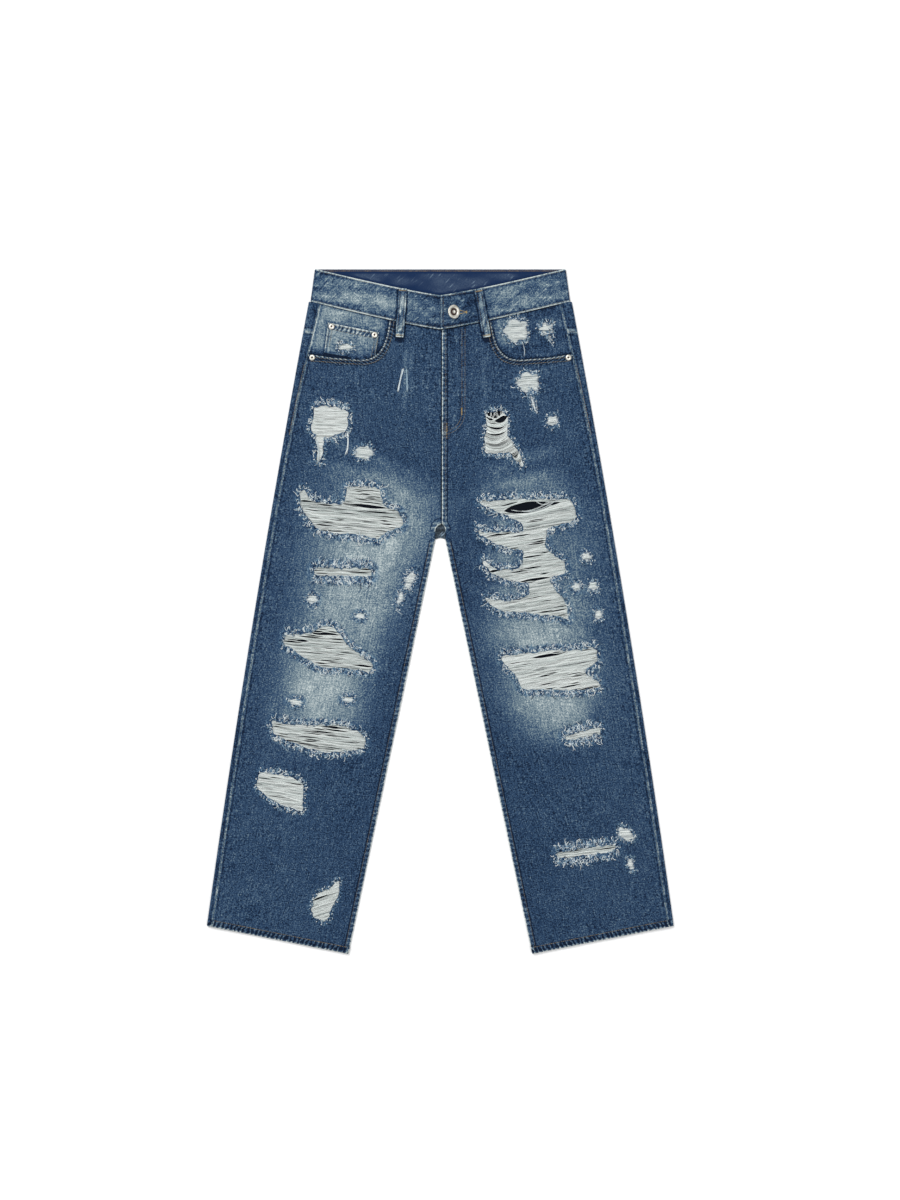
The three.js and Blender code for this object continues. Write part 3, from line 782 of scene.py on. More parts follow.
@dataclass(frozen=True)
class MetalFinish:
    """Nickel plate, rubbed dull, over a reddish middle where the plate has worn."""

    name: str
    core: float
    boss: float = -1.0

    def made(self) -> Material:
        """The material: blotches of pale and warm grey, and a dark core round a bright boss."""
        p = Paint(self.name, Metallic=0.85)
        blotch, scratch = p.noise(p.place, 3.0, 2.0), p.noise(p.place, 0.5, 2.0)
        plate = p.ramp(blotch, ((0.3, "#a5a297"), (0.5, "#d9d6cb"), (0.7, "#f0efe8")))
        worn = p.ramp(scratch, ((0.3, "#1a1213"), (0.5, "#3d2928"), (0.7, "#7c6a66")))
        radius = p.number("radius")
        off_boss = radius.ease(self.boss - 0.5, self.boss + 0.5)
        middle = radius.ease(self.core + 0.4, self.core - 0.4) * off_boss
        p.wear("Base Color", p.mixed(middle, plate, worn))
        p.wear("Roughness", blotch * 0.3 + 0.28 + middle * 0.2)
        p.bumped(scratch, 0.00005)
        return p.material


@dataclass(frozen=True)
class TapeFinish:
    """The zip's woven tape."""

    name: str = "zip_tape"

    def made(self) -> Material:
        """The material: dark blue with fine ribs across the tape."""
        p = Paint(self.name, Roughness=0.9, Specular_IOR_Level=0.2)
        rib = (p.part(p.place, "Y") * (2 * math.pi)).sine()
        fleck = p.noise(p.place, 2.0, 2.0)
        p.wear("Base Color", p.ramp(fleck, ((0.3, "#1b263a"), (0.7, "#2d3d58"))))
        p.bumped(rib, 0.0001)
        return p.material


@dataclass(frozen=True)
class FloorFinish:
    """The plain pale surface that the jeans lie on."""

    name: str = "pale_floor"

    def made(self) -> Material:
        """The material: an even, matt off-white."""
        p = Paint(self.name, Roughness=1.0, Specular_IOR_Level=0.0)
        p.shader.inputs["Base Color"].default_value = linear("#fbfbfb")
        return p.material


# ---- The cut of the garment ----


@dataclass(frozen=True)
class Crease:
    """A soft ridge in the cloth, along a line."""

    start: Pair
    end: Pair
    height: float
    width: float

    def at(self, x: Array, y: Array) -> Array:
        """Its height: a bump by the distance from the line, fading to nothing at both ends."""
        a, b = np.array(self.start), np.array(self.end)
        step = b - a
        t = ((x - a[0]) * step[0] + (y - a[1]) * step[1]) / (step @ step)
        gap = np.abs((x - a[0]) * step[1] - (y - a[1]) * step[0]) / np.linalg.norm(step)
        return self.height * bell(gap, self.width) * ease(t, -0.1, 0.25) * ease(t, 1.1, 0.75)


@dataclass(frozen=True)
class Fade:
    """The place down the middle of a leg where the dye is rubbed away.

    A knot is a height, the middle and half width there, and how much dye is gone.
    """

    knots: tuple[Four, ...]

    def at(self, x: Array, y: Array) -> Array:
        """The dye gone at a place: the strength times e to minus the cube of the share across."""
        heights, middles, halves, strengths = np.array(self.knots[::-1], float).T
        middle, half, strength = (np.interp(y, heights, k) for k in (middles, halves, strengths))
        return strength * np.exp(-((np.abs(x - middle) / half) ** 3))


@dataclass(frozen=True)
class Rows:
    """Straight rows across a leg piece, each from its inner edge to its outer one."""

    inner: Array
    outer: Array

    def length(self) -> Array:
        """Each row's length."""
        return np.linalg.norm(self.outer - self.inner, axis=1)

    def at(self, distance: Array) -> Array:
        """The points this far along each row, of shape (rows, columns, 2)."""
        share = distance / self.length()[:, None]
        return lerp(self.inner[:, None], self.outer[:, None], share[..., None])


@dataclass(frozen=True)
class Cut:
    """The garment's outline and the heights of its layers. Corners are those of one half."""

    waist: Pair = (188.0, 513.0)
    band: Pair = (194.6, 464.3)
    band_inset: float = 2.6
    hem_outer: Pair = (350.0, -471.0)
    hem_inner: Pair = (138.0, -513.0)
    crotch: Pair = (7.5, 109.0)
    front_crotch: float = 128.0
    bow: float = 6.0
    denim: float = 1.2
    folded: float = 2.0
    gap: float = 0.3
    turn_radius: float = 1.7
    turn_reach: float = 45.0
    low: float = 2.4
    wrap_leg: float = 8.0
    wrap_waist: float = 18.0
    wrap_widens: float = 150.0
    dip_top: float = 39.0
    dip_bottom: float = 41.3
    sag: float = 1.15
    fly_seam: float = 2.5
    yoke_centre: float = 386.0
    yoke_side: float = 417.0
    hem: float = 11.0
    loops: tuple[tuple[Pair, Pair], ...] = (
        ((57, 483), (70, 411)),
        ((-56, 484), (-61, 411)),
    )
    creases: tuple[Crease, ...] = (
        Crease((-51, 402), (-54, 300), 1.1, 3.2),
        Crease((-43, 400), (-44, 330), 0.7, 2.6),
        Crease((64, 400), (68, 296), 0.5, 3.2),
        Crease((73, 392), (76, 330), 0.3, 2.6),
        Crease((24, 396), (27, 280), 0.6, 2.4),
        Crease((-178, 262), (-60, 214), 0.8, 9.0),
        Crease((-182, 226), (-70, 190), 0.6, 8.0),
        Crease((180, 246), (60, 206), 0.8, 9.0),
        Crease((186, 214), (70, 182), 0.6, 8.0),
        Crease((-12, 150), (-80, 196), 0.3, 7.0),
        Crease((16, 150), (84, 196), 0.3, 7.0),
    )

    @property
    def band_half(self) -> float:
        """Half the waistband's width along the middle of its lower front edge."""
        return self.band[0] - self.band_inset

    def outer_edge(self, y: Array) -> Array:
        """Half the width: straight from waist to hem, bowed out by a parabola."""
        t = (self.waist[1] - y) / (self.waist[1] - self.hem_outer[1])
        return lerp(self.waist[0], self.hem_outer[0], t) + 4 * self.bow * t * (1 - t)

    def inner_edge(self, y: Array, seam: float = 0.15, bottom: float = 110.0, arch: float = 2.5) -> Array:
        """A piece's inner edge: its centre seam, a quarter of an oval, then the inseam's line.

        Args:
            y: heights.
            seam: how far the centre seam is from the middle.
            bottom: where the centre seam ends.
            arch: the oval's height.
        Returns:
            The inner edge's x, for the wearer's left.
        """
        t = np.maximum((self.crotch[1] - y) / (self.crotch[1] - self.hem_inner[1]), 0)
        inseam = lerp(self.crotch[0], self.hem_inner[0], t)
        up = np.clip((y - bottom + arch) / arch, 0, 1)
        return lerp(inseam, seam, 1 - np.sqrt(1 - up**2))

    def side_seam(self, y: Array) -> Array:
        """Where the front ends: the outer edge less the width that the back wraps round it."""
        t = np.clip((y - self.wrap_widens) / (self.band[1] - self.wrap_widens), 0, 1)
        return self.outer_edge(y) - lerp(self.wrap_leg, self.wrap_waist, t * t)

    def on_band(self, u: Array, s: Array | float, dip: Array | float = 1.0) -> tuple[Array, Array]:
        """Places on the waistband.

        Args:
            u: the share across, from -1 at the right side to 1 at the left.
            s: the share down, from 0 at the top edge to 1 at the bottom one.
            dip: 1 on the front, whose edges dip towards the middle, and 0 on the back.
        Returns:
            Their x and y.
        """
        rise = dip * (np.abs(u) ** self.sag - 1)
        top, bottom = self.waist[1] + self.dip_top * rise, self.band[1] + self.dip_bottom * rise
        return u * lerp(self.waist[0] - self.band_inset, self.band_half, s), lerp(top, bottom, s)

    def band_bottom(self, x: Array) -> Array:
        """The waistband's lower front edge, which dips towards the middle."""
        u = np.minimum(np.abs(x) / self.band_half, 1)
        return self.band[1] + self.dip_bottom * (u**self.sag - 1)

    def layer(self, inside: Array) -> Array:
        """The front layer's height this far in from the outer edge: down from the turn."""
        top = self.denim / 2 + 2 * self.turn_radius
        return lerp(top, self.low, ease(inside, self.turn_radius, self.turn_reach))

    def above_hem(self, x: Array, y: Array) -> Array:
        """The distance up from the hem's lower edge, which is a straight line."""
        across, up = np.array(self.hem_outer) - np.array(self.hem_inner)
        line = math.hypot(across, up)
        return ((y - self.hem_inner[1]) * across - (np.abs(x) - self.hem_inner[0]) * up) / line

    def turned_up(self, x: Array, y: Array) -> Array:
        """1 where the hem is folded up, and 0 above it."""
        return ease(self.above_hem(x, y), self.hem + 0.8, self.hem - 0.8)

    def loop_shade(self, x: Array, y: Array) -> Array:
        """How dark the cloth is beside and under the belt loops, from 0 to 1."""
        shade = 0.0 * x
        for (x0, y0), (x1, y1) in self.loops:
            t = np.clip((y - y0) / (y1 - y0), 0, 1)
            gap = np.hypot(x - lerp(x0, x1, t), np.minimum(y0 - y, 0) + np.maximum(y1 - y, 0)) - 6.0
            shade = np.maximum(shade, ease(gap, 3.4, 0.6))
        return shade

    def facing_height(self, x: Array, y: Array) -> Array:
        """The middle of the layer that pocket facings lie in."""
        return self.layer(self.outer_edge(y) - np.abs(x))

    def front_height(self, x: Array, y: Array) -> Array:
        """The middle of a front: its layer, what lies under it, seams, creases and waves."""
        off_side = self.side_seam(y) - np.abs(x)
        off_inner = np.abs(x) - self.inner_edge(y)
        pockets = 1.5 * ease(y, 300, 352)
        zip_below = 1.1 * ease(np.abs(x), 25, 23) * ease(y, 268, 276)
        seam = ease(off_inner, 0, 3) * ease(off_inner, 9.5, 7.5) - ease(off_inner, 2.5, 0)
        felled = 0.5 * ease(y, 116, 100) * seam
        ridge = 0.3 * ease(off_side, 5, 1.5)
        waves = 0.3 * (Grain(3).at(x, y, (46.0, 80.0)) + Grain(4).at(x, y, (22.0, 30.0)) + 1.2)
        clear = ease(off_side, 0, 20) * ease(self.band_bottom(x) - y, 4, 30)
        folds = sum(c.at(x, y) for c in self.creases)
        under = np.maximum(pockets, zip_below) + 1.2 * self.turned_up(x, y)
        return self.facing_height(x, y) + under + felled + ridge + clear * (waves + folds)

    def front_top(self, x: Array, y: Array) -> Array:
        """The upper side of a front."""
        return self.front_height(x, y) + self.denim / 2

    def rows(self, start: tuple, end: tuple, share: Array, seam: float, bottom: float, arch: float) -> Rows:
        """Rows of a leg piece.

        Args:
            start, end: the height at the inner edge and at the outer one, of the top and the
                bottom row.
            share: 0 for the top row, 1 for the bottom one.
            seam: where the centre seam is.
            bottom: where it ends.
            arch: how high the curve below it is.
        Returns:
            The rows.
        """
        y_in, y_out = lerp(start[0], end[0], share), lerp(start[1], end[1], share)
        inner = coords(self.inner_edge(y_in, seam, bottom, arch), y_in)
        return Rows(inner, coords(self.outer_edge(y_out), y_out))

    def reach(self, rows: Rows) -> Array:
        """How far along each row it crosses the side seam, found by stepping to it."""
        distance = rows.length() - (rows.outer[:, 0] - self.side_seam(rows.outer[:, 1]))
        for _ in range(6):
            place = rows.at(distance[:, None])[:, 0]
            distance = distance - (place[:, 0] - self.side_seam(place[:, 1]))
        return distance

    def opening(self, side: int, below: float) -> Outline:
        """A pocket opening's line, and all that is above it.

        The line is a cubic curve from the waistband round the bend, B(t) = (1-t)^3 P0 + 3(1-t)^2
        t P1 + 3(1-t) t^2 P2 + t^3 P3, and then straight lines out past the side.

        Args:
            side: +1 for the wearer's left.
            below: how far the line is moved down and in.
        Returns:
            The closed outline.
        """
        left, bottom = 76 - below, 377 - below
        a, b, c, d = np.array([[left, 435], [left + 6, bottom + 13], [left + 19, bottom], [121, bottom]])
        t = np.linspace(0, 1, 14)[:, None]
        curve = (1 - t) ** 3 * a + 3 * (1 - t) ** 2 * t * b + 3 * (1 - t) * t**2 * c + t**3 * d
        ends = np.array([[161, bottom + 3], [228, bottom + 13], [228, 513], [left - 4, 513]])
        return Outline(np.vstack([curve, ends]) * (side, 1))


class Layer(Enum):
    """Which side of a wall of cloth is the garment's inside, along the wall's normal."""

    OUTSIDE_UP = -1
    INSIDE_UP = 1


# ---- Rips ----


@dataclass(frozen=True)
class Rip:
    """A worn-through place: its outline, round a centre, and how its threads lie.

    A parting is a slit between threads that have moved apart: its middle's x and y, its half
    length and its half opening.
    """

    name: str
    centre: Pair
    outline: tuple[Pair, ...]
    partings: tuple[Four, ...] = ()
    slope: float = 9.0
    droop: float = 0.0
    cracked: float = 1.0
    pale: float = 0.0
    fray: float = 9.5
    curls: float = 2.1

    @property
    def side(self) -> int:
        """+1 for the wearer's left."""
        return 1 if self.centre[0] > 0 else -1

    def along(self) -> Array:
        """The threads' unit direction: they rise towards the outer edge."""
        angle = math.radians(self.slope) * self.side
        return np.array([math.cos(angle), math.sin(angle)])

    def drawn(self) -> Outline:
        """Its outline as it is drawn."""
        return Outline(np.array(self.outline, float) + self.centre)

    def line(self) -> Outline:
        """Its outline with cut corners and a ragged edge."""
        return self.drawn().softened().evenly(1.8).ragged(1.5, Grain(17))

    def frill(self, x: Array, y: Array, line: Outline) -> Array:
        """How much of the fringe lies on the cloth at a place outside the rip, from 0 to 1.

        It falls with the distance, and is most where the nearest edge runs along the threads.

        Args:
            x, y: the places.
            line: the rip's outline.
        Returns:
            The share of fringe.
        """
        reach = self.fray + 1.2
        gap, near = line.distance(x, y, reach + 4)
        facing = np.abs(unit(coords(x, y) - near) @ quarter_turn(self.along()))
        return ease(-gap, reach, reach * 0.55) * lerp(0.4, 1.0, facing**2) * (gap > -FAR / 2)


RIPS = (
    Rip(
        "right_hip", (-165, 283), (
            (-25, 23), (-12, 26), (12, 23), (28, 17), (27, -4), (21, -14), (2, -21), (-10, -24), (-13, -58),
            (-19, -58), (-20, -26), (-30, -6), (-25, 5),
        ), slope=2.0, droop=0.8, cracked=0.1, pale=0.2,
    ),
    Rip(
        "right_thigh", (-134, 149), (
            (-77, 31), (-70, 36), (-62, 18), (-38, 13), (-10, 12), (-6, 36), (3, 40), (43, 37), (49, 8),
            (69, 2), (78, -9), (78, -21), (54, -29), (41, -41), (12, -33), (-20, -33), (-48, -27),
            (-67, -6), (-77, 9),
        ), (
            (-112, 158, 34, 2.9), (-93, 149, 22, 1.7), (-191, 152, 14, 1.0), (-150, 140, 14, 0.6),
            (-105, 135, 20, 0.6), (-170, 135, 18, 0.6),
        ), slope=5.0, cracked=1.7,
    ),
    Rip(
        "right_thigh_slit", (-146, 59), (
            (-43, 7), (-10, 6), (43, 5.5), (42, -7), (0, -6), (-43, -5.5),
        ), slope=2.0, cracked=1.8, fray=12.5, curls=2.9,
    ),
    Rip(
        "right_knee", (-168, -58), (
            (-68, 9), (-65, 24), (-38, 24), (-18, 29), (-9, 35), (5, 36), (17, 25), (27, 9), (47, -6),
            (67, -20), (64, -34), (32, -27), (-8, -26), (-33, -14), (-53, 2),
        ), (
            (-177, -33, 27, 2.4), (-184, -31, 9, 2.2), (-170, -52, 30, 0.5), (-160, -68, 26, 0.5),
        ), slope=5.0, cracked=1.9,
    ),
    Rip(
        "right_shin", (-182, -187), (
            (-70, 24), (-51, 18), (-10, 17), (37, 17), (52, 9), (69, 1), (70, -13), (67, -19), (43, -22),
            (12, -25), (-18, -18), (-43, -7), (-61, -1), (-71, 6),
        ), (
            (-188, -184, 14, 1.0), (-135, -196, 20, 0.8), (-160, -178, 24, 0.5),
        ), slope=6.0, cracked=1.8,
    ),
    Rip(
        "right_calf", (-240, -269), (
            (-32, 27), (0, 25), (23, 18), (35, 11), (35, -14), (33, -30), (23, -27), (5, -21), (-16, -10),
            (-35, 4),
        ), slope=8.0, cracked=0.5, pale=0.08, fray=8.0,
    ),
    Rip(
        "right_ankle", (-173, -437), (
            (21, 37), (22, 25), (19, 10), (8, -11), (6, -23), (-3, -28), (-17, -21), (-20, -8), (-17, 7),
            (-7, 15), (11, 25),
        ), slope=-18.0, cracked=0.4, pale=0.06, fray=5.8,
    ),
    Rip(
        "left_hip", (90, 266), (
            (-23, 30), (0, 36), (12, 27), (11, -2), (18, -13), (29, -30), (36, -47), (32, -50), (21, -36),
            (12, -27), (-5, -30), (-23, -30), (-24, -7), (-20, 11),
        ), (
            (93, 293, 12, 4.6), (73, 294, 6, 3.2), (82, 281, 15, 1.5), (83, 271, 16, 1.1),
            (84, 262, 16, 0.9), (87, 253, 14, 0.6),
        ), slope=7.0, droop=9.0, cracked=0.2, pale=0.06, fray=7.6,
    ),
    Rip(
        "left_thigh", (127, 85), (
            (-71, 80), (0, 84), (69, 83), (75, 70), (78, 53), (32, 39), (30, 11), (42, 0), (57, -9),
            (63, -27), (36, -35), (44, -51), (57, -65), (65, -84), (65, -96), (51, -93), (-3, -86),
            (-38, -84), (-59, -69), (-60, -62), (-48, -68), (-23, -69), (5, -63), (6, -42), (-8, -42),
            (-30, -36), (-51, -27), (-63, -12), (-62, -7), (-44, -22), (-8, -20), (-3, -12), (-2, 3),
            (-8, 8), (-30, 11), (-48, 18), (-68, 30), (-74, 44), (-63, 33), (-23, 35), (-3, 33), (-3, 45),
            (-23, 56), (-44, 66), (-63, 74),
        ), (
            (130, 156, 35, 8.5), (165, 161, 15, 2.6), (104, 160, 14, 1.5), (88, 115, 20, 2.0),
            (142, 48, 24, 2.4), (115, 15, 20, 0.8), (150, 66, 22, 0.5),
        ), slope=9.0, cracked=0.7, pale=0.03,
    ),
    Rip(
        "left_knee", (168, -85), (
            (-77, 18), (-34, 23), (2, 27), (31, 27), (66, 31), (68, 9), (48, -3), (53, -11), (68, -19),
            (74, -29), (41, -33), (-47, -32), (-51, -17), (-59, -4), (-76, 8),
        ), (
            (161, -66, 25, 2.6), (176, -62, 9, 2.2), (197, -94, 20, 1.0), (150, -86, 28, 0.5),
        ), slope=10.0, cracked=0.6, pale=0.1,
    ),
    Rip(
        "left_shin", (214, -185), (
            (-27, -3), (-12, 3), (21, 11), (26, 11), (25, 2), (3, -4), (-25, -9),
        ), (
            (214, -184, 18, 0.5),
        ), fray=12.0, curls=2.9,
    ),
    Rip(
        "left_ankle", (220, -359), (
            (-45, -4), (-18, 2), (43, 10), (43, 1), (2, -7), (-44, -11),
        ), (
            (220, -359, 26, 0.4),
        ), slope=7.0, fray=12.0, curls=2.9,
    ),
)


@dataclass(frozen=True)
class Spot:
    """A small rubbed place that isn't worn through: its middle, size and tilt."""

    centre: Pair
    size: Pair
    turn: float = 0.0
    slope: float = 8.0
    raised: float = 0.0
    star: float = 0.12
    curls: float = 3.4

    def rip(self) -> Rip:
        """Its outline as a rip's: an oval whose radius waves five and eight times round."""
        angle = np.linspace(0, 2 * np.pi, 26, endpoint=False)
        phase = self.centre[0] * 0.7
        radius = 1 + self.star * (np.sin(5 * angle + phase) + 0.6 * np.sin(8 * angle - phase))
        c, s = math.cos(math.radians(self.turn)), math.sin(math.radians(self.turn))
        x, y = radius * np.cos(angle) * self.size[0] / 2, radius * np.sin(angle) * self.size[1] / 2
        outline = tuple(zip(x * c - y * s, x * s + y * c))
        return Rip(
            "spot", self.centre, outline, slope=self.slope, cracked=0.0, pale=0.06, fray=5.8, curls=self.curls
        )


SPOTS = (
    Spot((-114, 238), (28, 20), slope=6),
    Spot((-46, 46), (14, 32), turn=-24),
    Spot((-60, 20), (9, 24), turn=-20),
    Spot((-192, 18), (18, 13)),
    Spot((-120, -7), (16, 9)),
    Spot((-217, -136), (22, 9), turn=-8),
    Spot((-138, -132), (18, 9)),
    Spot((132, 343), (34, 31), slope=4),
    Spot((138, 316), (6, 28), turn=14),
    Spot((168, 286), (19, 15), turn=18),
    Spot((219, 82), (15, 14), star=0.18),
    Spot((204, 37), (14, 13), star=0.18),
    Spot((229, 38), (15, 14), star=0.18),
    Spot((237, -5), (12, 16)),
    Spot((278, -334), (28, 17), turn=-35, slope=4),
    Spot((285, -379), (10, 19), turn=10, slope=12),
)

FACING_SPOTS = [
    Spot((114, 421), (36, 34), slope=2, raised=1.0, star=0.12),
    Spot((159, 424), (20, 17), slope=2, raised=1.0, star=0.3),
    Spot((164, 413), (5, 13), turn=12, raised=1.0),
]

COIN_SPOTS = [Spot((-142, 396), (24, 9), slope=-6, raised=2.5, star=0.16)]


# ---- Cloth pieces ----


@dataclass
class Declared:
    """What a finished sheet of cloth says of itself."""

    piece: Object
    flat: Pair
    area: float
    rests_on: list[str]
    extras: list[Object] = field(default_factory=list)


def cloth_values(x: Array, y: Array, inside: Layer, **known: Array) -> dict[str, Array | int]:
    """What a denim finish reads at the points of a piece.

    Args:
        x, y: the points.
        inside: the side of the wall that is the garment's inside.
        known: the numbers that matter to the piece. Seams and folds that aren't given are far
            away, and the warp runs along Y.
    Returns:
        The numbers by name, the cloth's own grid as "cloth", and the inside.
    """
    plain = {"side": FAR, "inner": FAR, "fold": FAR, "along": y, "frill": 0.0, "wear": 0.0}
    values = {k: known.get(k, v) + 0 * x for k, v in plain.items()}
    return values | {"cloth": known.get("cloth", coords(x, y, 0)), "inside": inside.value}


def trimmed(
    x: Array, y: Array, line: Outline, inside: bool, cell: float, near_it: Array | bool = True
) -> tuple[Array, Array, Array]:
    """Cuts a grid along an outline.

    A cell is kept if its corners' mean distance is on the kept side. Points on the border
    between kept and cut cells move to the nearest place on the line.

    Args:
        x, y: the grid.
        line: the outline.
        inside: whether the inside is kept.
        cell: the size of a cell, and the furthest that a point moves.
        near_it: where the grid can be cut at all.
    Returns:
        The moved x and y, and the kept cells.
    """
    gap, near = line.distance(x, y)
    gap = np.where(near_it, gap, -FAR) * (1 if inside else -1)
    keep = (gap[:-1, :-1] + gap[1:, :-1] + gap[1:, 1:] + gap[:-1, 1:]) > 0
    count = sum(np.pad(keep.astype(int), ((a, 1 - a), (b, 1 - b))) for a in (0, 1) for b in (0, 1))
    edge = (count > 0) & (count < 4) & (np.abs(gap) < cell)
    return np.where(edge, near[..., 0], x), np.where(edge, near[..., 1], y), keep


@dataclass
class LegPanels:
    """The two fronts: leg pieces cut out for the pockets and worn through at the rips.

    The area is a front's, in square metres, when the pocket leaves the given share of its cells.
    """

    cut: Cut
    rows: int = 384
    columns: int = 84
    area: float = 0.189
    share_left: float = 0.965
    fades: tuple[Fade, ...] = (
        Fade((
            (230, -118, 78, 0.0), (205, -106, 84, 0.34), (172, -84, 82, 0.72), (140, -92, 90, 0.84),
            (95, -108, 90, 0.92), (50, -124, 78, 0.92), (10, -134, 72, 0.92), (-25, -142, 74, 0.86),
            (-65, -160, 72, 0.76), (-110, -174, 64, 0.96), (-150, -178, 64, 0.84), (-190, -185, 58, 0.5),
            (-226, -190, 50, 0.0),
        )),
        Fade((
            (216, 130, 55, 0.0), (192, 130, 60, 0.46), (150, 142, 86, 0.36), (100, 168, 66, 0.42),
            (50, 168, 66, 0.44), (4, 156, 76, 0.76), (-32, 146, 74, 0.95), (-85, 165, 82, 0.66),
            (-138, 165, 68, 0.95), (-172, 174, 60, 0.62), (-218, 186, 50, 0.0),
        )),
    )
    tongues: tuple[Four, ...] = ((94, 130, 32, 14), (97, 80, 34, 16), (103, 31, 32, 14))

    def plan(self, side: int, share: Array, first: float = 0.0) -> tuple[Array, Array]:
        """A front's grid, seen from above, for the wearer's left or right.

        Each row runs from the inner edge to the side seam. The top rows are moved down to the
        waistband's dipping edge, by less and less over the first eighth of the length.

        Args:
            side: +1 for the wearer's left.
            share: the rows, 0 at the waistband and 1 at the hem.
            first: where a row's first column is, from 0 at the inner edge to 1.
        Returns:
            The grid's x and y, turned over for the right so that its walls face up too.
        """
        cut = self.cut
        start = (cut.band[1] - cut.dip_bottom - cut.gap, cut.band[1] - cut.gap)
        end = (cut.hem_inner[1], cut.hem_outer[1])
        seam = side * cut.fly_seam + cut.gap / 2
        rows = cut.rows(start, end, share, seam, cut.front_crotch + 2.5, 10.0)
        reach = cut.reach(rows) - cut.gap / 2
        s = np.linspace(first, 1, self.columns + 1)[None]
        x, y = np.moveaxis(rows.at(s * reach[:, None]), -1, 0)
        chord = lerp(start[0], start[1], s * (reach / rows.length())[:, None])
        lift = cut.band_bottom(x) - cut.gap - 0.25 - chord
        dip = lift * np.maximum(0, 1 - share / 0.12)[:, None]
        x, y = (x + s * (cut.side_seam(y + dip) - cut.side_seam(y))) * side, y + dip
        return (x, y) if side > 0 else (x[:, ::-1], y[:, ::-1])

    def grain(self, x: Array, y: Array) -> Array:
        """The distance across and along the warp, which runs down the middle of the leg."""
        lean = np.arctan2(self.cut.hem_inner[0] + 106, 985) * ease(y, 330, 60)
        return coords(x * np.cos(lean) + np.sign(x) * y * np.sin(lean), y * np.cos(lean), 0)

    def frayed(self, side: int, x: Array, y: Array, lines: list[tuple[Rip, Outline]]) -> Array:
        """How much fringe lies on a front: that of the rips, and some round the small spots.

        Args:
            side: +1 for the wearer's left.
            x, y: places on the front.
            lines: its rips, each with its ragged outline.
        Returns:
            The fringe, from 0 to 1.
        """
        spots = [spot.rip() for spot in SPOTS if np.sign(spot.centre[0]) == side]
        small = np.max([spot.frill(x, y, spot.drawn()) for spot in spots], 0)
        frill = np.max([rip.frill(x, y, line) for rip, line in lines], 0)
        return np.maximum(frill * (1 - 0.6 * self.rubbed(x, y)), 0.7 * small)

    def rubbed(self, x: Array, y: Array) -> Array:
        """How rubbed the tongues of cloth between rips are, as bumps on their ovals."""
        ovals = (bell(np.hypot((x - a) / c, (y - b) / d), 1.0) for a, b, c, d in self.tongues)
        return np.max(list(ovals), 0)

    def fly(self, x: Array, y: Array) -> Array:
        """The puckers at the fly's stitching, the marks at its tacks and the streaks on it."""
        off = np.where(y > 300, np.abs(x - 34.7), np.abs(np.hypot(x - 6, (y - 300) * 0.92) - 29.5))
        off = np.where((x > 5) & (y > 262), off, FAR)
        puckers = 0.22 * np.sin((y - x) * 2 * np.pi / 8) * bell(off, 3.0) - 0.14 * bell(off - 5.0, 1.8)
        tacks = 0.5 * Grain(14).at(x, y, (3.0, 3.6)) * bell(x - 8, 7.0)
        streaks = 0.24 * Grain(15).at(x, y, (3.4, 70.0)) * ease(x, 3, 6) * ease(x, 42, 36)
        tacks = tacks * ease(y, 252, 264) * ease(y, 292, 280)
        return puckers + tacks + streaks * ease(y, 250, 280)

    def wear(self, x: Array, y: Array, top: Array) -> Array:
        """The dye gone: fades, ridges, hips and fly, less the shade under loops and waistband."""
        faded = 1 - np.prod([1 - np.clip(f.at(x, y), 0, 1) for f in self.fades], 0)
        broken = 1 + 0.16 * Grain(5).at(x, y, 26.0) + 0.12 * Grain(6).at(x, y, (7.0, 16.0))
        wear = np.clip(np.maximum(faded, 0.62 * self.rubbed(x, y)) * broken, 0, 1.05)
        ridges = 0.36 * sum(c.at(x, y) for c in self.cut.creases)
        hips = 0.06 * ease(y, 150, 300) + 0.06 * ease(np.abs(x), 130, 230) * ease(y, 250, 100)
        # Painted shadow beside and under the belt loops, and under the waistband's lower edge.
        shade = 0.75 * self.cut.loop_shade(x, y) + 0.6 * ease(top, 3.6, 0.8)
        return wear + ridges + hips + self.fly(x, y) - shade

    def panel(self, side: int, material: Material) -> Declared:
        """One front, cut out for the pocket and worn through at its rips."""
        cut, cell = self.cut, 3.2
        x, y = self.plan(side, np.linspace(0, 1, self.rows + 1))
        x, y, keep = trimmed(x, y, cut.opening(side, 0), False, cell)
        whole = float(keep.mean())
        lines = [(rip, rip.line()) for rip in RIPS if rip.side == side]
        for _, line in lines:
            x, y, kept = trimmed(x, y, line, False, cell)
            keep &= kept
        far = np.abs(x)
        off_centre = np.abs(x - cut.fly_seam)
        # On the right front the middle seam's value begins where the denim paints its dark line, so a painted shadow
        # groove runs beside the seam.
        off_centre = off_centre if side > 0 else 8.2 + 0.6 * off_centre
        arch = 9 * (np.hypot(x / 8.2, np.maximum(y - 120, 0) / (cut.front_crotch - 117.5)) - 1) + 0.4
        centre = np.where(y > 120, np.minimum(off_centre, arch), 0.5 + far - cut.inner_edge(y))
        opening, _ = cut.opening(side, 0).distance(x, y)
        hem, top = cut.above_hem(x, y), cut.band_bottom(x) - y
        fold = np.minimum(np.minimum(hem, -opening), 8.0 + top)
        values = cloth_values(
            x, y, Layer.OUTSIDE_UP,
            side=np.clip(cut.side_seam(y) - far, 0, FAR),
            inner=np.clip(centre, 0, FAR),
            fold=np.clip(fold, 0, FAR),
            along=np.where(fold < 12, np.where(hem < 14, far, far - y), y),
            frill=self.frayed(side, x, y, lines),
            wear=self.wear(x, y, top),
            cloth=self.grain(x, y),
        )
        thick = lerp(cut.denim, cut.folded, cut.turned_up(x, y))
        shell = wall(coords(x, y, cut.front_height(x, y)), thick, keep, values)
        name = word(side)
        piece = shell.piece(f"front_panel_{name}", material, "denim", f"front_leg_{name}")
        below = [f"back_panel_{name}", f"pocket_facing_cloth_{name}"]
        return Declared(piece, (0.235, 1.02), self.area * whole / self.share_left, below)


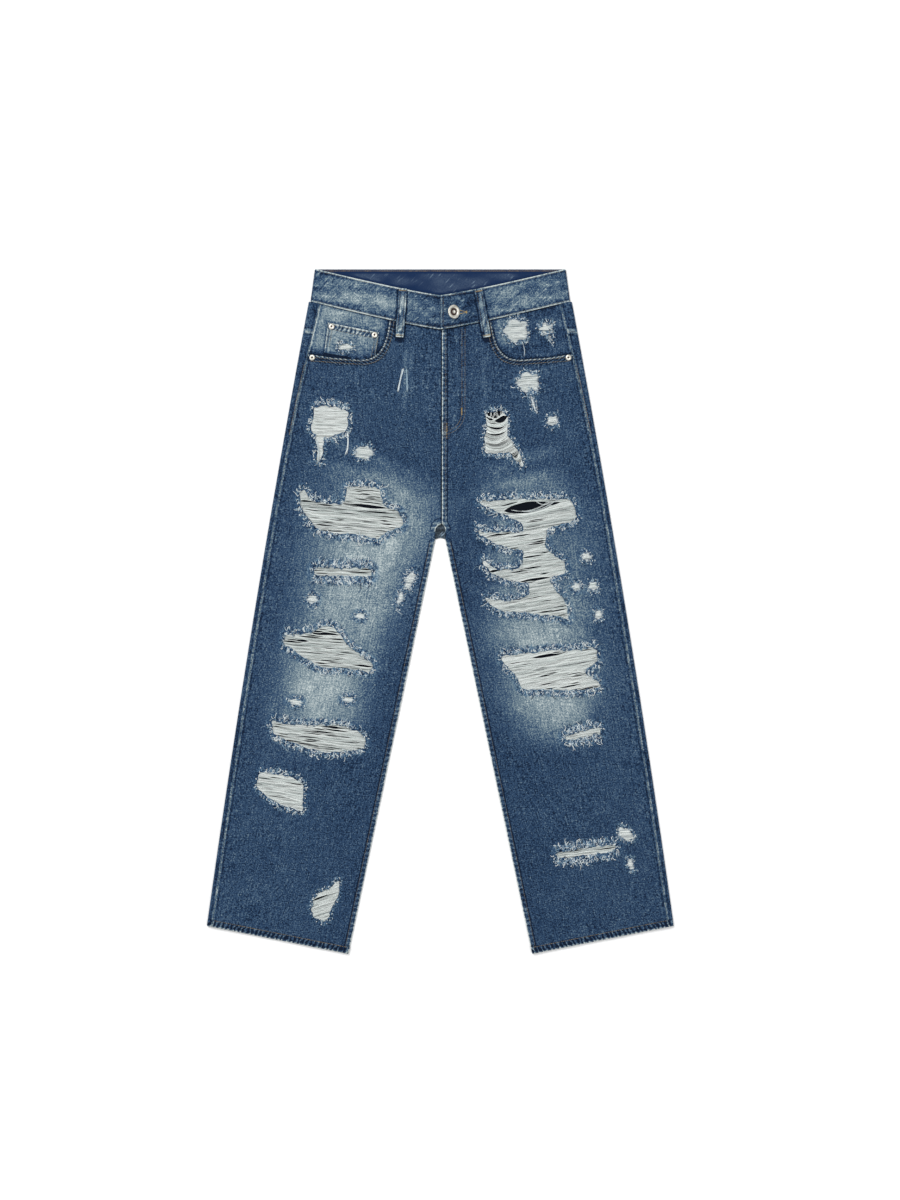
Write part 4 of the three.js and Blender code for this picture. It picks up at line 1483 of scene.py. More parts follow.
@dataclass
class BackPanels:
    """The back legs and the yokes above them, which turn over the outer edge."""

    cut: Cut
    under: int = 20
    turn: int = 8
    strip: int = 7
    barrel: float = 13.0

    def bulge(self, distance: Array, y: Array) -> Array:
        """1 on the felled seams' rolled end, which shows between the legs at the crotch."""
        return ease(y, 106, 109) * ease(y, 134, 128) * ease(distance, self.barrel, self.barrel - 4)

    def wear(self, x: Array, y: Array, distance: Array, on_top: Array) -> Array:
        """The dye gone: mottled on the strip that shows and pale at its seams, striped below.

        Args:
            x, y: places on the piece.
            distance: how far along its row each is, from the inner edge.
            on_top: whether it is past the turn.
        Returns:
            The dye gone.
        """
        seam = np.abs(y - self.cut.yoke_side - 3.0)
        mottled = 0.06 + 0.14 * Grain(8).at(x, y, (9.0, 30.0))
        pale = (0.5 + 0.5 * Grain(16).at(x, y, (2.6, 2.0))) * ease(seam, 4.6, 2.8)
        stripes = 0.5 + 0.5 * np.sin((distance + 0.02 * (y - 118) ** 2) * 1.9)
        rolled = 0.05 + 0.34 * stripes * np.abs(Grain(9).at(x, y, 3.0)) - 0.2 * bell(distance - 7.5, 2)
        return np.where(on_top, mottled + pale - 0.4 * bell(seam - 5.4, 1.4), rolled)

    def section(self, side: int, start: Pair, end: Pair, count: int, hem: bool) -> Shell:
        """A back piece: flat on the surface, half a circle round the edge, then the front's level.

        Args:
            side: +1 for the wearer's left.
            start, end: the heights of the top and bottom rows, at the inner and outer edges.
            count: the number of cells along.
            hem: whether the bottom is folded up, as on a leg, and not on a yoke.
        Returns:
            The piece's wall.
        """
        cut, radius = self.cut, self.cut.turn_radius
        share = np.linspace(0, 1, count + 1)
        rise = start[0] - end[0]
        if hem:
            crotch = (start[0] - cut.crotch[1]) / rise
            share = np.unique(np.concatenate([share, crotch + np.linspace(-0.006, 0.004, 12)]))
        rows = cut.rows(start, end, share, cut.gap / 2, cut.crotch[1] + 1, 2.5)
        length, wrap_end = rows.length()[:, None], cut.reach(rows)[:, None] + cut.gap / 2
        folded = ease((1 - share) * rise, cut.hem + 0.8, cut.hem - 0.8)[:, None] * hem
        thick = lerp(cut.denim, cut.folded, folded)
        edge = length - radius - thick / 2
        flat = edge * np.linspace(0, 1, self.under + 1)[None] ** 0.8
        angle = np.pi * (np.arange(1, self.turn + 1) / self.turn - 0.5)
        across = np.arange(1, self.strip + 1)[None] / self.strip
        strip = lerp(edge, wrap_end, across)
        distance = np.hstack([flat, edge + radius * np.cos(angle), strip])
        turning = thick / 2 + radius * (1 + np.sin(angle))
        level = cut.layer(length - strip) + 0.72 * folded
        z = np.hstack([thick / 2 + 0 * flat, turning, level])
        x, y = np.moveaxis(rows.at(distance), -1, 0)
        if not hem:
            top = np.hstack([0 * distance[:, : -self.strip], across + 0 * strip])
            drop = (cut.band_bottom(x) - cut.band[1]) * (1 - share)[:, None] * top
            x, y = x + top * (cut.side_seam(y + drop) - cut.side_seam(y)), y + drop
        x = x * side
        on_top = (np.arange(distance.shape[1]) >= self.under + self.turn // 2)[None] & (x != FAR)
        above = cut.above_hem(x, y) if hem else FAR + 0 * x
        fold = np.where(on_top, above, np.minimum(above, np.abs(share[:, None] * rise) + 1.0))
        bulge = self.bulge(distance, y) * hem
        # Below the turn only the rolled end at the crotch is paled; the rest of the inside face keeps its near-black
        # painted shadow colour.
        wear = self.wear(x, y, distance, on_top) * np.where(on_top, 1, bulge)
        values = cloth_values(
            x, y, Layer.INSIDE_UP,
            side=np.where(on_top, np.abs(distance - wrap_end), FAR),
            inner=np.where(on_top, FAR, distance),
            fold=np.clip(fold, 0, FAR),
            along=np.where(above < 14, np.abs(x), y),
            wear=wear,
        )
        middle = coords(x, y, z + bulge * 1.6 * ease(y, 107, 113) * ease(distance, 9.5, 3))
        thickness = np.broadcast_to(thick, z.shape)
        if side < 0:
            middle, thickness = middle[::-1], thickness[::-1]
            values = {k: v[::-1] if isinstance(v, np.ndarray) else v for k, v in values.items()}
        return wall(middle, thickness, np.ones((z.shape[0] - 1, z.shape[1] - 1), bool), values)

    def yoke(self, side: int, material: Material) -> Declared:
        """A back yoke, from the waistband to the seam that runs up to the side."""
        cut = self.cut
        shell = self.section(side, (cut.band[1] - cut.gap,) * 2, (cut.yoke_centre, cut.yoke_side), 34, False)
        piece = shell.piece(f"yoke_cloth_{word(side)}", material, "denim", f"yoke_{word(side)}")
        return Declared(piece, (0.225, 0.085), 0.0138, ["floor"])

    def leg(self, side: int, material: Material) -> Declared:
        """A back leg, from the yoke down to the hem."""
        cut = self.cut
        start = (cut.yoke_centre - cut.gap, cut.yoke_side - cut.gap)
        shell = self.section(side, start, (cut.hem_inner[1], cut.hem_outer[1]), 190, True)
        piece = shell.piece(f"back_panel_{word(side)}", material, "denim", f"back_leg_{word(side)}")
        return Declared(piece, (0.262, 0.945), 0.211, ["floor"])


@dataclass
class Pockets:
    """The facings that show in the pocket openings, and the coin pocket on the right one."""

    cut: Cut
    panels: LegPanels
    rub_right: float = 0.66
    coin: tuple[Pair, ...] = ((-168, 433), (-92, 418), (-174, 388), (-99, 374))

    def corners(self) -> Array:
        """The coin pocket's corners: top outer, top inner, bottom outer, bottom inner."""
        return np.array(self.coin, float)

    def rub(self, side: int, x: Array, y: Array, opening: Array) -> Array:
        """The dye gone on a facing, round the worn spots on the left and all over on the right,
        less painted shadow along the opening's edge, round the coin pocket and under the waistband.

        Args:
            side: +1 for the wearer's left.
            x, y: places on the facing.
            opening: how far each is from the pocket opening's edge.
        Returns:
            The dye gone, less the painted shadow.
        """
        if side > 0:
            rub = 0.1 * ease(x, 160, 180) + 0.58 * bell(x - 98, 20) * ease(y, 388, 406) * ease(y, 476, 440)
            rub = rub + 0.4 * bell(np.hypot(x - 160, (y - 424) * 1.1), 14)
            rub = rub + 0.2 * Grain(13).at(x, y, (12.0, 12.0))
        else:
            round_coin, _ = Outline(self.corners()[[0, 1, 3, 2]]).distance(x, y, 12)
            # On the right, painted shade inside the opening's edge, darker towards the bottom, and painted shadow
            # round the coin pocket.
            rub = self.rub_right - 0.5 * ease(opening, 14, 2) - 0.3 * ease(y, 408, 384)
            rub = rub + 0.14 * ease(y, 420, 450) - 0.5 * ease(-round_coin, 4.5, 0.8) * (round_coin > -FAR / 2)
        # Painted shadow along the opening's edge, and under the waistband.
        rub = rub * (1 + 0.25 * Grain(11).at(x, y, (9.0, 14.0))) - 0.5 * ease(opening, 5.0, 1.0)
        return rub - 0.5 * ease(self.cut.band_bottom(x) - y, 4.0, 0.8)

    def facing(self, side: int, material: Material) -> Declared:
        """A facing, one layer below the front, seen in the opening."""
        x, y = self.panels.plan(side, np.linspace(0, 0.15, 64), first=0.25)
        x, y, keep = trimmed(x, y, self.cut.opening(side, 16), True, 3.0)
        opening, _ = self.cut.opening(side, 0).distance(x, y)
        seam = np.clip(self.cut.side_seam(y) - np.abs(x), 0, FAR)
        values = cloth_values(x, y, Layer.OUTSIDE_UP, side=seam, wear=self.rub(side, x, y, opening))
        shell = wall(coords(x, y, self.cut.facing_height(x, y)), self.cut.denim, keep, values)
        name = word(side)
        piece = shell.piece(f"pocket_facing_cloth_{name}", material, "denim_faded", f"pocket_facing_{name}")
        return Declared(piece, (0.135, 0.1), shell.area() / 2, [f"yoke_cloth_{name}", f"back_panel_{name}"])

    def coin_pocket(self, material: Material) -> Declared:
        """The coin pocket: a flat patch between four corners, cut at the pocket opening."""
        a, b, c, d = self.corners()
        u, v = np.meshgrid(np.linspace(0, 1, 62), np.linspace(0, 1, 38))
        x, y = np.moveaxis(lerp(lerp(a, b, u[..., None]), lerp(c, d, u[..., None]), v[..., None]), -1, 0)
        x, y, keep = trimmed(x, y, self.cut.opening(-1, -0.4), True, 2.2)
        opening, _ = self.cut.opening(-1, 0).distance(x, y)
        hem = v * 45
        # Darker near the pocket opening and towards the bottom.
        rub = 0.72 - 0.3 * ease(opening, 9, 1) - 0.6 * ease(y, 398, 380)
        rub = rub + 0.2 * Grain(12).at(x, y, (7.0, 12.0))
        edge = np.minimum(u, 1 - u) * 76 + 0.6
        fold = np.maximum(hem, 0.3)
        values = cloth_values(x, y, Layer.OUTSIDE_UP, side=edge, fold=fold, along=x, wear=rub)
        thick = lerp(self.cut.denim, 1.45, ease(hem, 12.5, 11))
        shell = wall(coords(x, y, self.cut.facing_height(x, y) + 1.5), thick, keep, values)
        piece = shell.piece("coin_pocket_cloth", material, "denim_faded", "coin_pocket")
        return Declared(piece, (0.078, 0.048), shell.area() / 2, ["pocket_facing_cloth_right"])


@dataclass
class Waistband:
    """One folded strip round the top, whose left end laps over its right end."""

    cut: Cut
    radius: float = 1.6
    across: int = 26
    tall: float = 48.7
    slit: Pair = (37.0, 448.5)
    front: float = 4.2
    over: float = 6.6
    lap_cells: int = 84
    rubbed: tuple[Pair, ...] = (
        (-192, 0.4), (-176, 0.55), (-120, 0.66), (-72, 0.6), (-52, 0.3), (-30, 0.3),
        (5, 0.02), (60, 0.1), (82, 0.5), (120, 0.62), (160, 0.6), (192, 0.4),
    )

    def stations(self) -> list[Array]:
        """The strip's path, as u from -1 to 1 across, the dip, the height and the step outward.

        It runs from the end under the fly, round the right side by half a circle, along the back
        and round the left side to the end on top.
        """
        half = self.cut.band_half
        angle = np.pi * (np.arange(1, 9) / 9 - 0.5)
        turn = self.cut.folded / 2 + self.radius * (1 + np.sin(angle))
        out, ones = self.radius * np.cos(angle), np.ones(8)
        over = np.linspace(half, 1.0, self.lap_cells) / half
        lapped = lerp(self.front, self.over, ease(-over * half, -51.0, -40.0))
        parts = (
            (np.linspace(38, -half, 96) / half, 1, self.front, 0),
            (-ones, 0, turn[::-1], out),
            (np.linspace(-1, 1, 72), 0, 1.0, 0),
            (ones, 0, turn, out),
            (over, 1, lapped, 0),
        )
        return [np.concatenate([np.broadcast_to(p[k], p[0].shape) for p in parts])[None] for k in range(4)]

    def wear(self, x: Array, y: Array, across: Array, off: Array, under_top: Array, front: Array) -> Array:
        """The dye gone: rubbed cloudily in front, with puckers at the edges, and little behind, less
        painted shadow beside the belt loops and, behind, under the front's top edge.

        Args:
            x, y: places on the strip.
            across: their x before the turns' step outward.
            off: the distance from the nearer edge.
            under_top: the height over the front's top edge.
            front: whether they are on the front.
        Returns:
            The dye gone, less the painted shadow.
        """
        rub = np.interp(across, *np.array(self.rubbed).T)
        level = y - 24 * (np.abs(x) / 190)
        clouds = 0.34 * Grain(23).at(x + 0.5 * level, level, (46.0, 9.0))
        clouds = clouds + 0.26 * Grain(24).at(x + level, level - 0.3 * x, (9.0, 6.0))
        pucker = np.sin(x * 2 * np.pi / 8 + 2 * clouds) * ease(off, 9, 6) * ease(off, 1, 3)
        # Painted shadow beside the belt loops.
        shade = 0.8 * self.cut.loop_shade(x, y) * ease(off, 0, 3)
        worn = 0.9 * rub + clouds - 0.22 * ease(off, 8, 3) + 0.16 * pucker - shade - 0.02
        # Behind, painted shadow under the front's top edge.
        back = 0.06 + 0.07 * Grain(26).at(x, y, (20.0, 9.0)) - 0.3 * ease(under_top, 5.0, 1.0)
        return np.where(front, worn, np.maximum(back - 0.3 * bell(off - 4, 1.6), 0))

    def made(self, material: Material) -> Declared:
        """The band, with its buttonhole cut through the end on top."""
        cut = self.cut
        u, dip, height, out = self.stations()
        s = np.linspace(0, 1, self.across + 1)[:, None]
        across, front = u * cut.band_half, dip > 0
        x, y = cut.on_band(u, s, dip)
        x = x + np.sign(u) * out
        lap = (np.arange(u.size) >= u.size - self.lap_cells)[None] & front
        x, y, keep = trimmed(x, y, Outline(self.buttonhole()), False, 2.5, lap & (across < 46))
        off = np.minimum(s, 1 - s) * self.tall + 0 * u
        waves = 0.22 * (Grain(21).at(x, y, (30.0, 20.0)) + Grain(22).at(x + y, y, (9.0, 14.0)))
        z = height + np.where(front & (np.abs(u) < 0.985), waves * ease(off, 0, 5), 0.0)
        under_top = y - cut.on_band(u, 0.0)[1]
        values = cloth_values(
            x, y, Layer.INSIDE_UP,
            side=np.clip(np.where(lap, across - 1.0, FAR), 0.0, FAR),
            fold=off,
            along=x,
            wear=self.wear(x, y, across, off, under_top, front),
            cloth=coords(y, x, 0),
        )
        shell = wall(coords(x, y, z), lerp(cut.denim, cut.folded, ease(off, 0, 1.6)), keep, values)
        piece = shell.piece("waistband_cloth", material, "denim_band", "waistband")
        fronts, yokes = ([f"{k}_{word(side)}" for side in (1, -1)] for k in ("front_panel", "yoke_cloth"))
        return Declared(piece, (0.83, 0.05), 0.0405, [*fronts, *yokes, "floor"])

    def buttonhole(self) -> Array:
        """A keyhole: a round eye and a slit that runs out of it to the wearer's left."""
        angle = np.linspace(0.4, 2 * np.pi - 0.4, 14)
        x, y = self.slit
        eye = coords(15.5 + 4.0 * np.cos(angle), y + 3.0 * np.sin(angle))
        return np.vstack([eye, [[x, y - 0.55], [x, y + 0.55]]])


@dataclass
class BeltLoops:
    """The two front belt loops: strips folded in three, tacked at both ends."""

    cut: Cut
    width: float = 13.0
    thickness: float = 2.2
    worn: Pair = (0.42, 0.66)

    def section(self) -> tuple[Array, Array]:
        """A rounded rectangle with two low ridges over its folded edges, from -1 to 1 across.

        Across and up are the signed square roots of an angle's cosine and sine.
        """
        angle = 2 * np.pi * (np.arange(36) + 0.5) / 36
        across, up = (np.sign(f) * np.sqrt(np.abs(f)) for f in (np.cos(angle), np.sin(angle)))
        return across, up * self.thickness / 2 + 0.28 * bell(np.abs(across) - 0.74, 0.17) * (up > 0)

    def made(self, material: Material) -> list[Declared]:
        """Both loops, low at the tacked ends and standing off between.

        Each end has a dark line over a pale folded foot, and both long edges are darkened as painted
        shade.
        """
        made = []
        t = np.linspace(0, 1, 60)[:, None]
        across, up = self.section()
        height = 6.85 + 1.1 * ease(t, 0, 0.34) * ease(t, 1, 0.66)
        swell = 1 - 0.12 * bell(t, 0.03) - 0.12 * bell(1 - t, 0.03)
        folded = 1 + 0.3 * ease(t, 0.12, 0.05) + 0.3 * ease(t, 0.88, 0.95)
        ends = 0.6 * ease(1 - t, 0.07, 0.03) - 0.6 * bell(1 - t - 0.1, 0.02) + 0.5 * ease(t, 0.05, 0.02)
        # Dark lines near the stitch rows, and painted shade along both long edges.
        ridges = 0.45 * bell(np.abs(across) - 0.52, 0.12) + 0.7 * ease(np.abs(across), 0.84, 1.0)
        for side, (top, bottom), base in zip((1, -1), self.cut.loops, self.worn):
            path = lerp(np.array(top, float), np.array(bottom, float), t)
            step = quarter_turn(unit(path[-1] - path[0])) * self.width / 2
            x, y = (path[:, k, None] + step[k] * across * swell for k in (0, 1))
            wear = base + 0.75 * Grain(31).at(x, y, (4.0, 9.0)) - ridges + ends
            values = cloth_values(x, y, Layer.OUTSIDE_UP, along=73 * t, wear=wear) | {"inside": 0 * x}
            shell = loft(coords(x, y, height + 0.85 * folded * up)[None], {})
            shell.values = {k: v.reshape(-1, *v.shape[2:]) for k, v in values.items()}
            name = word(side)
            piece = shell.piece(f"belt_loop_cloth_{name}", material, "denim_band", f"belt_loop_{name}")
            made.append(Declared(piece, (0.0135, 0.074), 0.00096, ["waistband_cloth", f"front_panel_{name}"]))
        return made


# ---- Threads ----


@dataclass
class WeftThreads:
    """The pale threads that bridge a rip, or show where the blue warp is rubbed away."""

    cut: Cut
    pitch: float = 0.66
    radius: float = 0.35
    tuck: float = 1.6
    crack_share: float = 0.0036
    wave: Grain = Grain(41)

    def moved(self, rip: Rip, s: Array, o: Array) -> Array:
        """Where threads lie across their direction, o, at places s along it.

        Neighbours wave together in bundles. At a parting, the distance d from its middle line
        becomes the cube root of d^3 + w^3, where the half width w falls from the middle to the
        ends, so a gap of w opens on both sides and threads far away stay.

        Args:
            rip: the rip.
            s, o: places along and across the threads' direction.
        Returns:
            The new o.
        """
        shift = 0.6 * self.wave.at(s, o, (17.0, 2.6)) + 0.28 * self.wave.at(s + 70, o, (7.0, 1.2))
        moved = o + shift
        along = rip.along()
        for *place, half_length, half_opening in (*rip.partings, *self.cracks(rip)):
            middle = np.array(place) - rip.centre
            taper = 1 - ((s - middle @ along) / half_length) ** 2
            width = half_opening * np.maximum(taper, 0) ** 0.7
            gap = o - middle @ quarter_turn(along)
            spread = np.cbrt(np.abs(gap) ** 3 + width**3) - np.abs(gap)
            moved = moved + np.where(gap >= 0, 1, -1) * spread
        return moved

    def cracks(self, rip: Rip) -> Array:
        """Partings at random places, as narrow dark lines, the same on every run."""
        rng = np.random.default_rng(int(abs(rip.centre[0] * 3 + rip.centre[1])))
        low, high = np.min(rip.outline, 0), np.max(rip.outline, 0)
        count = int(np.prod(high - low) * self.crack_share * rip.cracked)
        places = rng.uniform(low, high, (count, 2)) + rip.centre
        return np.column_stack([places, rng.uniform(7, 22, count), rng.uniform(0.6, 1.6, count)])

    def paths(self, rip: Rip, height: float | None) -> Shell:
        """All of a rip's threads.

        Args:
            rip: the rip.
            height: how far above the cloth's middle they lie, or None for threads in a rip,
                which lie in the cloth's own level.
        Returns:
            The threads' shell.
        """
        cut, along, centre = self.cut, rip.along(), np.array(rip.centre, float)
        line = rip.line() if height is None else rip.drawn()
        offset, start, end = line.crossings(centre, along, self.pitch)
        rng = np.random.default_rng(int(abs(centre[0]) * 10 + abs(centre[1])))
        shells = []
        length = end - start
        for low, high, stations in ((0, 16, 6), (16, 44, 11), (44, 400, 21)):
            pick = (length > low) & (length <= high)
            if not pick.any():
                continue
            each = (pick.sum(), 1)
            t = np.linspace(0, 1, stations)[None]
            tuck = self.tuck if height is None else 0.2
            loose = rng.uniform(-0.8, 0.8, (2, *each)) * (0 if height is None else 1.6)
            s = lerp(start[pick, None] - tuck + loose[0], end[pick, None] + tuck + loose[1], t)
            o = np.broadcast_to(offset[pick, None], s.shape)
            hold = ease(np.minimum(t, 1 - t) * length[pick, None], 0, 6)
            across = lerp(o, self.moved(rip, s, o), hold)
            lazy = rip.droop * (0.8 + 0.3 * self.wave.at(0 * o, o, (9.0, 3.4))) * (1 - (2 * t - 1) ** 2)
            place = centre + s[..., None] * along + (across - lazy)[..., None] * quarter_turn(along)
            x, y = np.moveaxis(place, -1, 0)
            rise = self.wave.at(s + 31, o * 3, (14.0, 2.0)) * 0.32 * hold
            if height is None:
                z = cut.front_height(x, y) + rise - 0.12 * hold
            else:
                z = height + rise * 0.6 - 0.5 * (1 - hold)
                z = z + (cut.front_top(x, y) if height < 0.5 else cut.facing_height(x, y) - 0.1)
            light = 0.82 + rip.pale + 0.15 * rng.standard_normal(each)
            light = light + 0.18 * self.wave.at(s, o, (15.0, 1.4))
            # A few threads are painted dark, as painted shadow lines between bundles.
            light = light - 0.45 * (rng.random(each) < 0.05 * min(rip.cracked, 1.5))
            radius = self.radius * rng.uniform(0.85, 1.2, each)
            shells.append(tubes(coords(x, y, z), radius + 0 * x, 3, {"tint": np.clip(light, 0.05, 1)}))
        return Shell.joined(shells)

    def in_rips(self, side: int, material: Material) -> list[Object]:
        """One piece for each rip of a leg."""
        rips = [rip for rip in RIPS if rip.side == side]
        return [
            self.paths(rip, None).piece(f"weft_{rip.name}", material, "weft_threads", f"threads_{rip.name}")
            for rip in rips
        ]

    def on_spots(self, name: str, spots: list[Spot], material: Material) -> Object:
        """The threads of small rubbed places, in one piece."""
        shells = [self.paths(spot.rip(), max(spot.raised, 0.25)) for spot in spots]
        return Shell.joined(shells).piece(name, material, "weft_threads")


@dataclass(frozen=True)
class Stray:
    """A loose end: a bundle of threads on a bent line."""

    start: Pair
    bend: Pair
    end: Pair
    count: int = 1
    tint: float = 0.8


@dataclass
class Fringe:
    """The curled ends of cut blue warp and pale weft round each rip."""

    cut: Cut
    radius: float = 0.6
    strays: tuple[Stray, ...] = (
        Stray((-56, 363), (-60, 348), (-63, 330), 10, 0.85),
        Stray((-50, 363), (-50, 346), (-50, 330), 9, 0.65),
        Stray((-140, 268), (-136, 252), (-142, 236), 7, 0.95),
        Stray((-186, 258), (-180, 240), (-184, 222), 5, 0.85),
        Stray((-122, 121), (-118, 112), (-124, 98), 3, 0.9),
        Stray((138, 318), (140, 308), (143, 300), 6, 0.95),
        Stray((121, 405), (127, 394), (125, 383), 2, 0.85),
        Stray((162, 410), (166, 402), (169, 396), 2, 0.8),
        Stray((108, 153), (140, 143), (168, 170), 2, 0.95),
        Stray((122, 151), (150, 146), (180, 172), 2, 0.9),
        Stray((140, 168), (156, 150), (174, 172), 2, 0.95),
        Stray((192, 176), (206, 178), (210, 166), 1, 0.6),
        Stray((120, 182), (160, 194), (186, 190), 1, 0.55),
        Stray((-64, 10), (-70, 2), (-58, -4), 2, 0.8),
        Stray((50, 62), (56, 72), (64, 60), 1, 0.6),
        Stray((196, 130), (204, 136), (200, 142), 3, 0.9),
    )

    def curls(
        self, base: Array, outward: Array, reach: Array, tint: Array, rng: np.random.Generator, lift: float
    ) -> Shell:
        """Curled strands.

        A strand goes outward from its base by a share of its reach, while a turning vector of a
        small radius carries it round, as on a spring that lies on its side.

        Args:
            base: where each starts.
            outward: its unit direction.
            reach: its length.
            tint: its tint.
            rng: the source of random numbers.
            lift: the cloth's height above the front's upper side.
        Returns:
            The strands' shell.
        """
        each = (len(base), 1)
        t = np.linspace(0, 1, 6)[None]
        turns = rng.uniform(3.0, 7.0, each) * rng.choice([-1, 1], each)
        start = rng.uniform(0, 2 * np.pi, each)
        size = rng.uniform(0.9, 2.3, each) * np.minimum(reach / 4.0, 1)[:, None]
        tangent = quarter_turn(outward)
        ahead = unit(outward + rng.normal(0, 0.5, each) * tangent)
        spin = start + turns * t
        across = size * (np.sin(spin) - np.sin(start))
        forth = size * (np.cos(start) - np.cos(spin)) + reach[:, None] * t
        place = base[:, None] + forth[..., None] * ahead[:, None] + across[..., None] * tangent[:, None]
        x, y = np.moveaxis(place, -1, 0)
        high = rng.uniform(0.2, 1.6, each)
        z = self.cut.front_top(x, y) + lift + 0.2 + high * np.sin(np.pi * t) ** 0.7
        shade = tint[:, None] + rng.uniform(-0.3, 0.3, each) * (t - 0.5)
        return tubes(coords(x, y, z), self.radius * (1.1 - 0.4 * t) + 0 * x, 3, {"tint": shade})

    def round_rip(self, rip: Rip, line: Outline, lift: float) -> Shell:
        """The strands round one rip.

        The edges that run along the weft have the most, because the cut warp ends are there.

        Args:
            rip: the rip.
            line: its outline.
            lift: the cloth's height above the front's upper side.
        Returns:
            The strands' shell.
        """
        rng = np.random.default_rng(int(abs(rip.centre[0] * 5 + rip.centre[1] * 3)))
        points, normals = line.points, line.outward()
        facing = np.abs(normals @ quarter_turn(rip.along()))
        weight = 0.34 + 0.66 * facing**2
        count = int(length_along(np.vstack([points, points[:1]]))[-1] * rip.curls * rip.fray / 9.5)
        pick = rng.choice(len(points), count, p=weight / weight.sum())
        base = points[pick] + rng.uniform(-0.8, 0.8, (count, 2))
        normal, share = normals[pick], lerp(0.5, 1.0, facing[pick])
        out = rng.beta(1.0, 1.2, count) * rip.fray * 0.85 * share
        reach = rng.gamma(2.6, 0.11, count) * rip.fray * share
        shares = [0.36, 0.3, 0.34] if rip.fray > 6 else [0.2, 0.44, 0.36]
        tint = rng.choice([0.92, 0.5, 0.16], count, p=shares)
        tint = np.clip(tint + rng.normal(0, 0.1, count), 0, 1)
        return self.curls(base + normal * out[:, None], normal, np.clip(reach, 1.0, 13), tint, rng, lift)

    def round_spots(self, spots: list[Spot], lift: float) -> list[Shell]:
        """The strands round small rubbed places."""
        return [self.round_rip(rip, rip.drawn().evenly(1.5), lift) for rip in (s.rip() for s in spots)]

    def on_pocket(self, name: str, spots: list[Spot], lift: float, material: Material) -> Object:
        """The strands of the rubbed places on a pocket, in one piece."""
        return Shell.joined(self.round_spots(spots, lift)).piece(name, material, "weft_threads")

    def made(self, side: int, spots: list[Spot], material: Material) -> list[Object]:
        """All the fringe of one leg: a piece for each rip, and one for spots and loose ends."""
        rng = np.random.default_rng(61 + side)
        pieces = [
            self.round_rip(rip, rip.line(), 0.0).piece(f"fringe_{rip.name}", material, "weft_threads")
            for rip in RIPS
            if rip.side == side
        ]
        shells = self.round_spots(spots, 0.0)
        t = np.linspace(0, 1, 9)[None, :, None]
        for stray in self.strays:
            if np.sign(stray.start[0]) != side:
                continue
            ends = (stray.start, stray.bend, stray.end)
            a, b, c = (np.array(p, float) + rng.normal(0, 0.9, (stray.count, 1, 2)) for p in ends)
            x, y = np.moveaxis((1 - t) ** 2 * a + 2 * t * (1 - t) * b + t**2 * c, -1, 0)
            z = self.cut.front_top(x, y) + 0.5 + 0.5 * np.sin(np.pi * t[..., 0])
            shells.append(tubes(coords(x, y, z), 0.3 + 0 * x, 3, {"tint": stray.tint + 0 * x}))
        last = Shell.joined(shells).piece(f"fringe_spots_{word(side)}", material, "weft_threads")
        return [*pieces, last]


class On(Enum):
    """What a row of stitches is sewn through, as its height above the facing, or the front."""

    FRONT = 0.0
    STRIP = 0.6
    COIN = 2.2


@dataclass(frozen=True)
class SeamLine:
    """A row of stitches: its plan as points, the cloth or height it is on, its tint and its step."""

    points: Array
    on: On | float = On.FRONT
    tint: float = 0.4
    pitch: float = 3.0
    length: float = 2.3


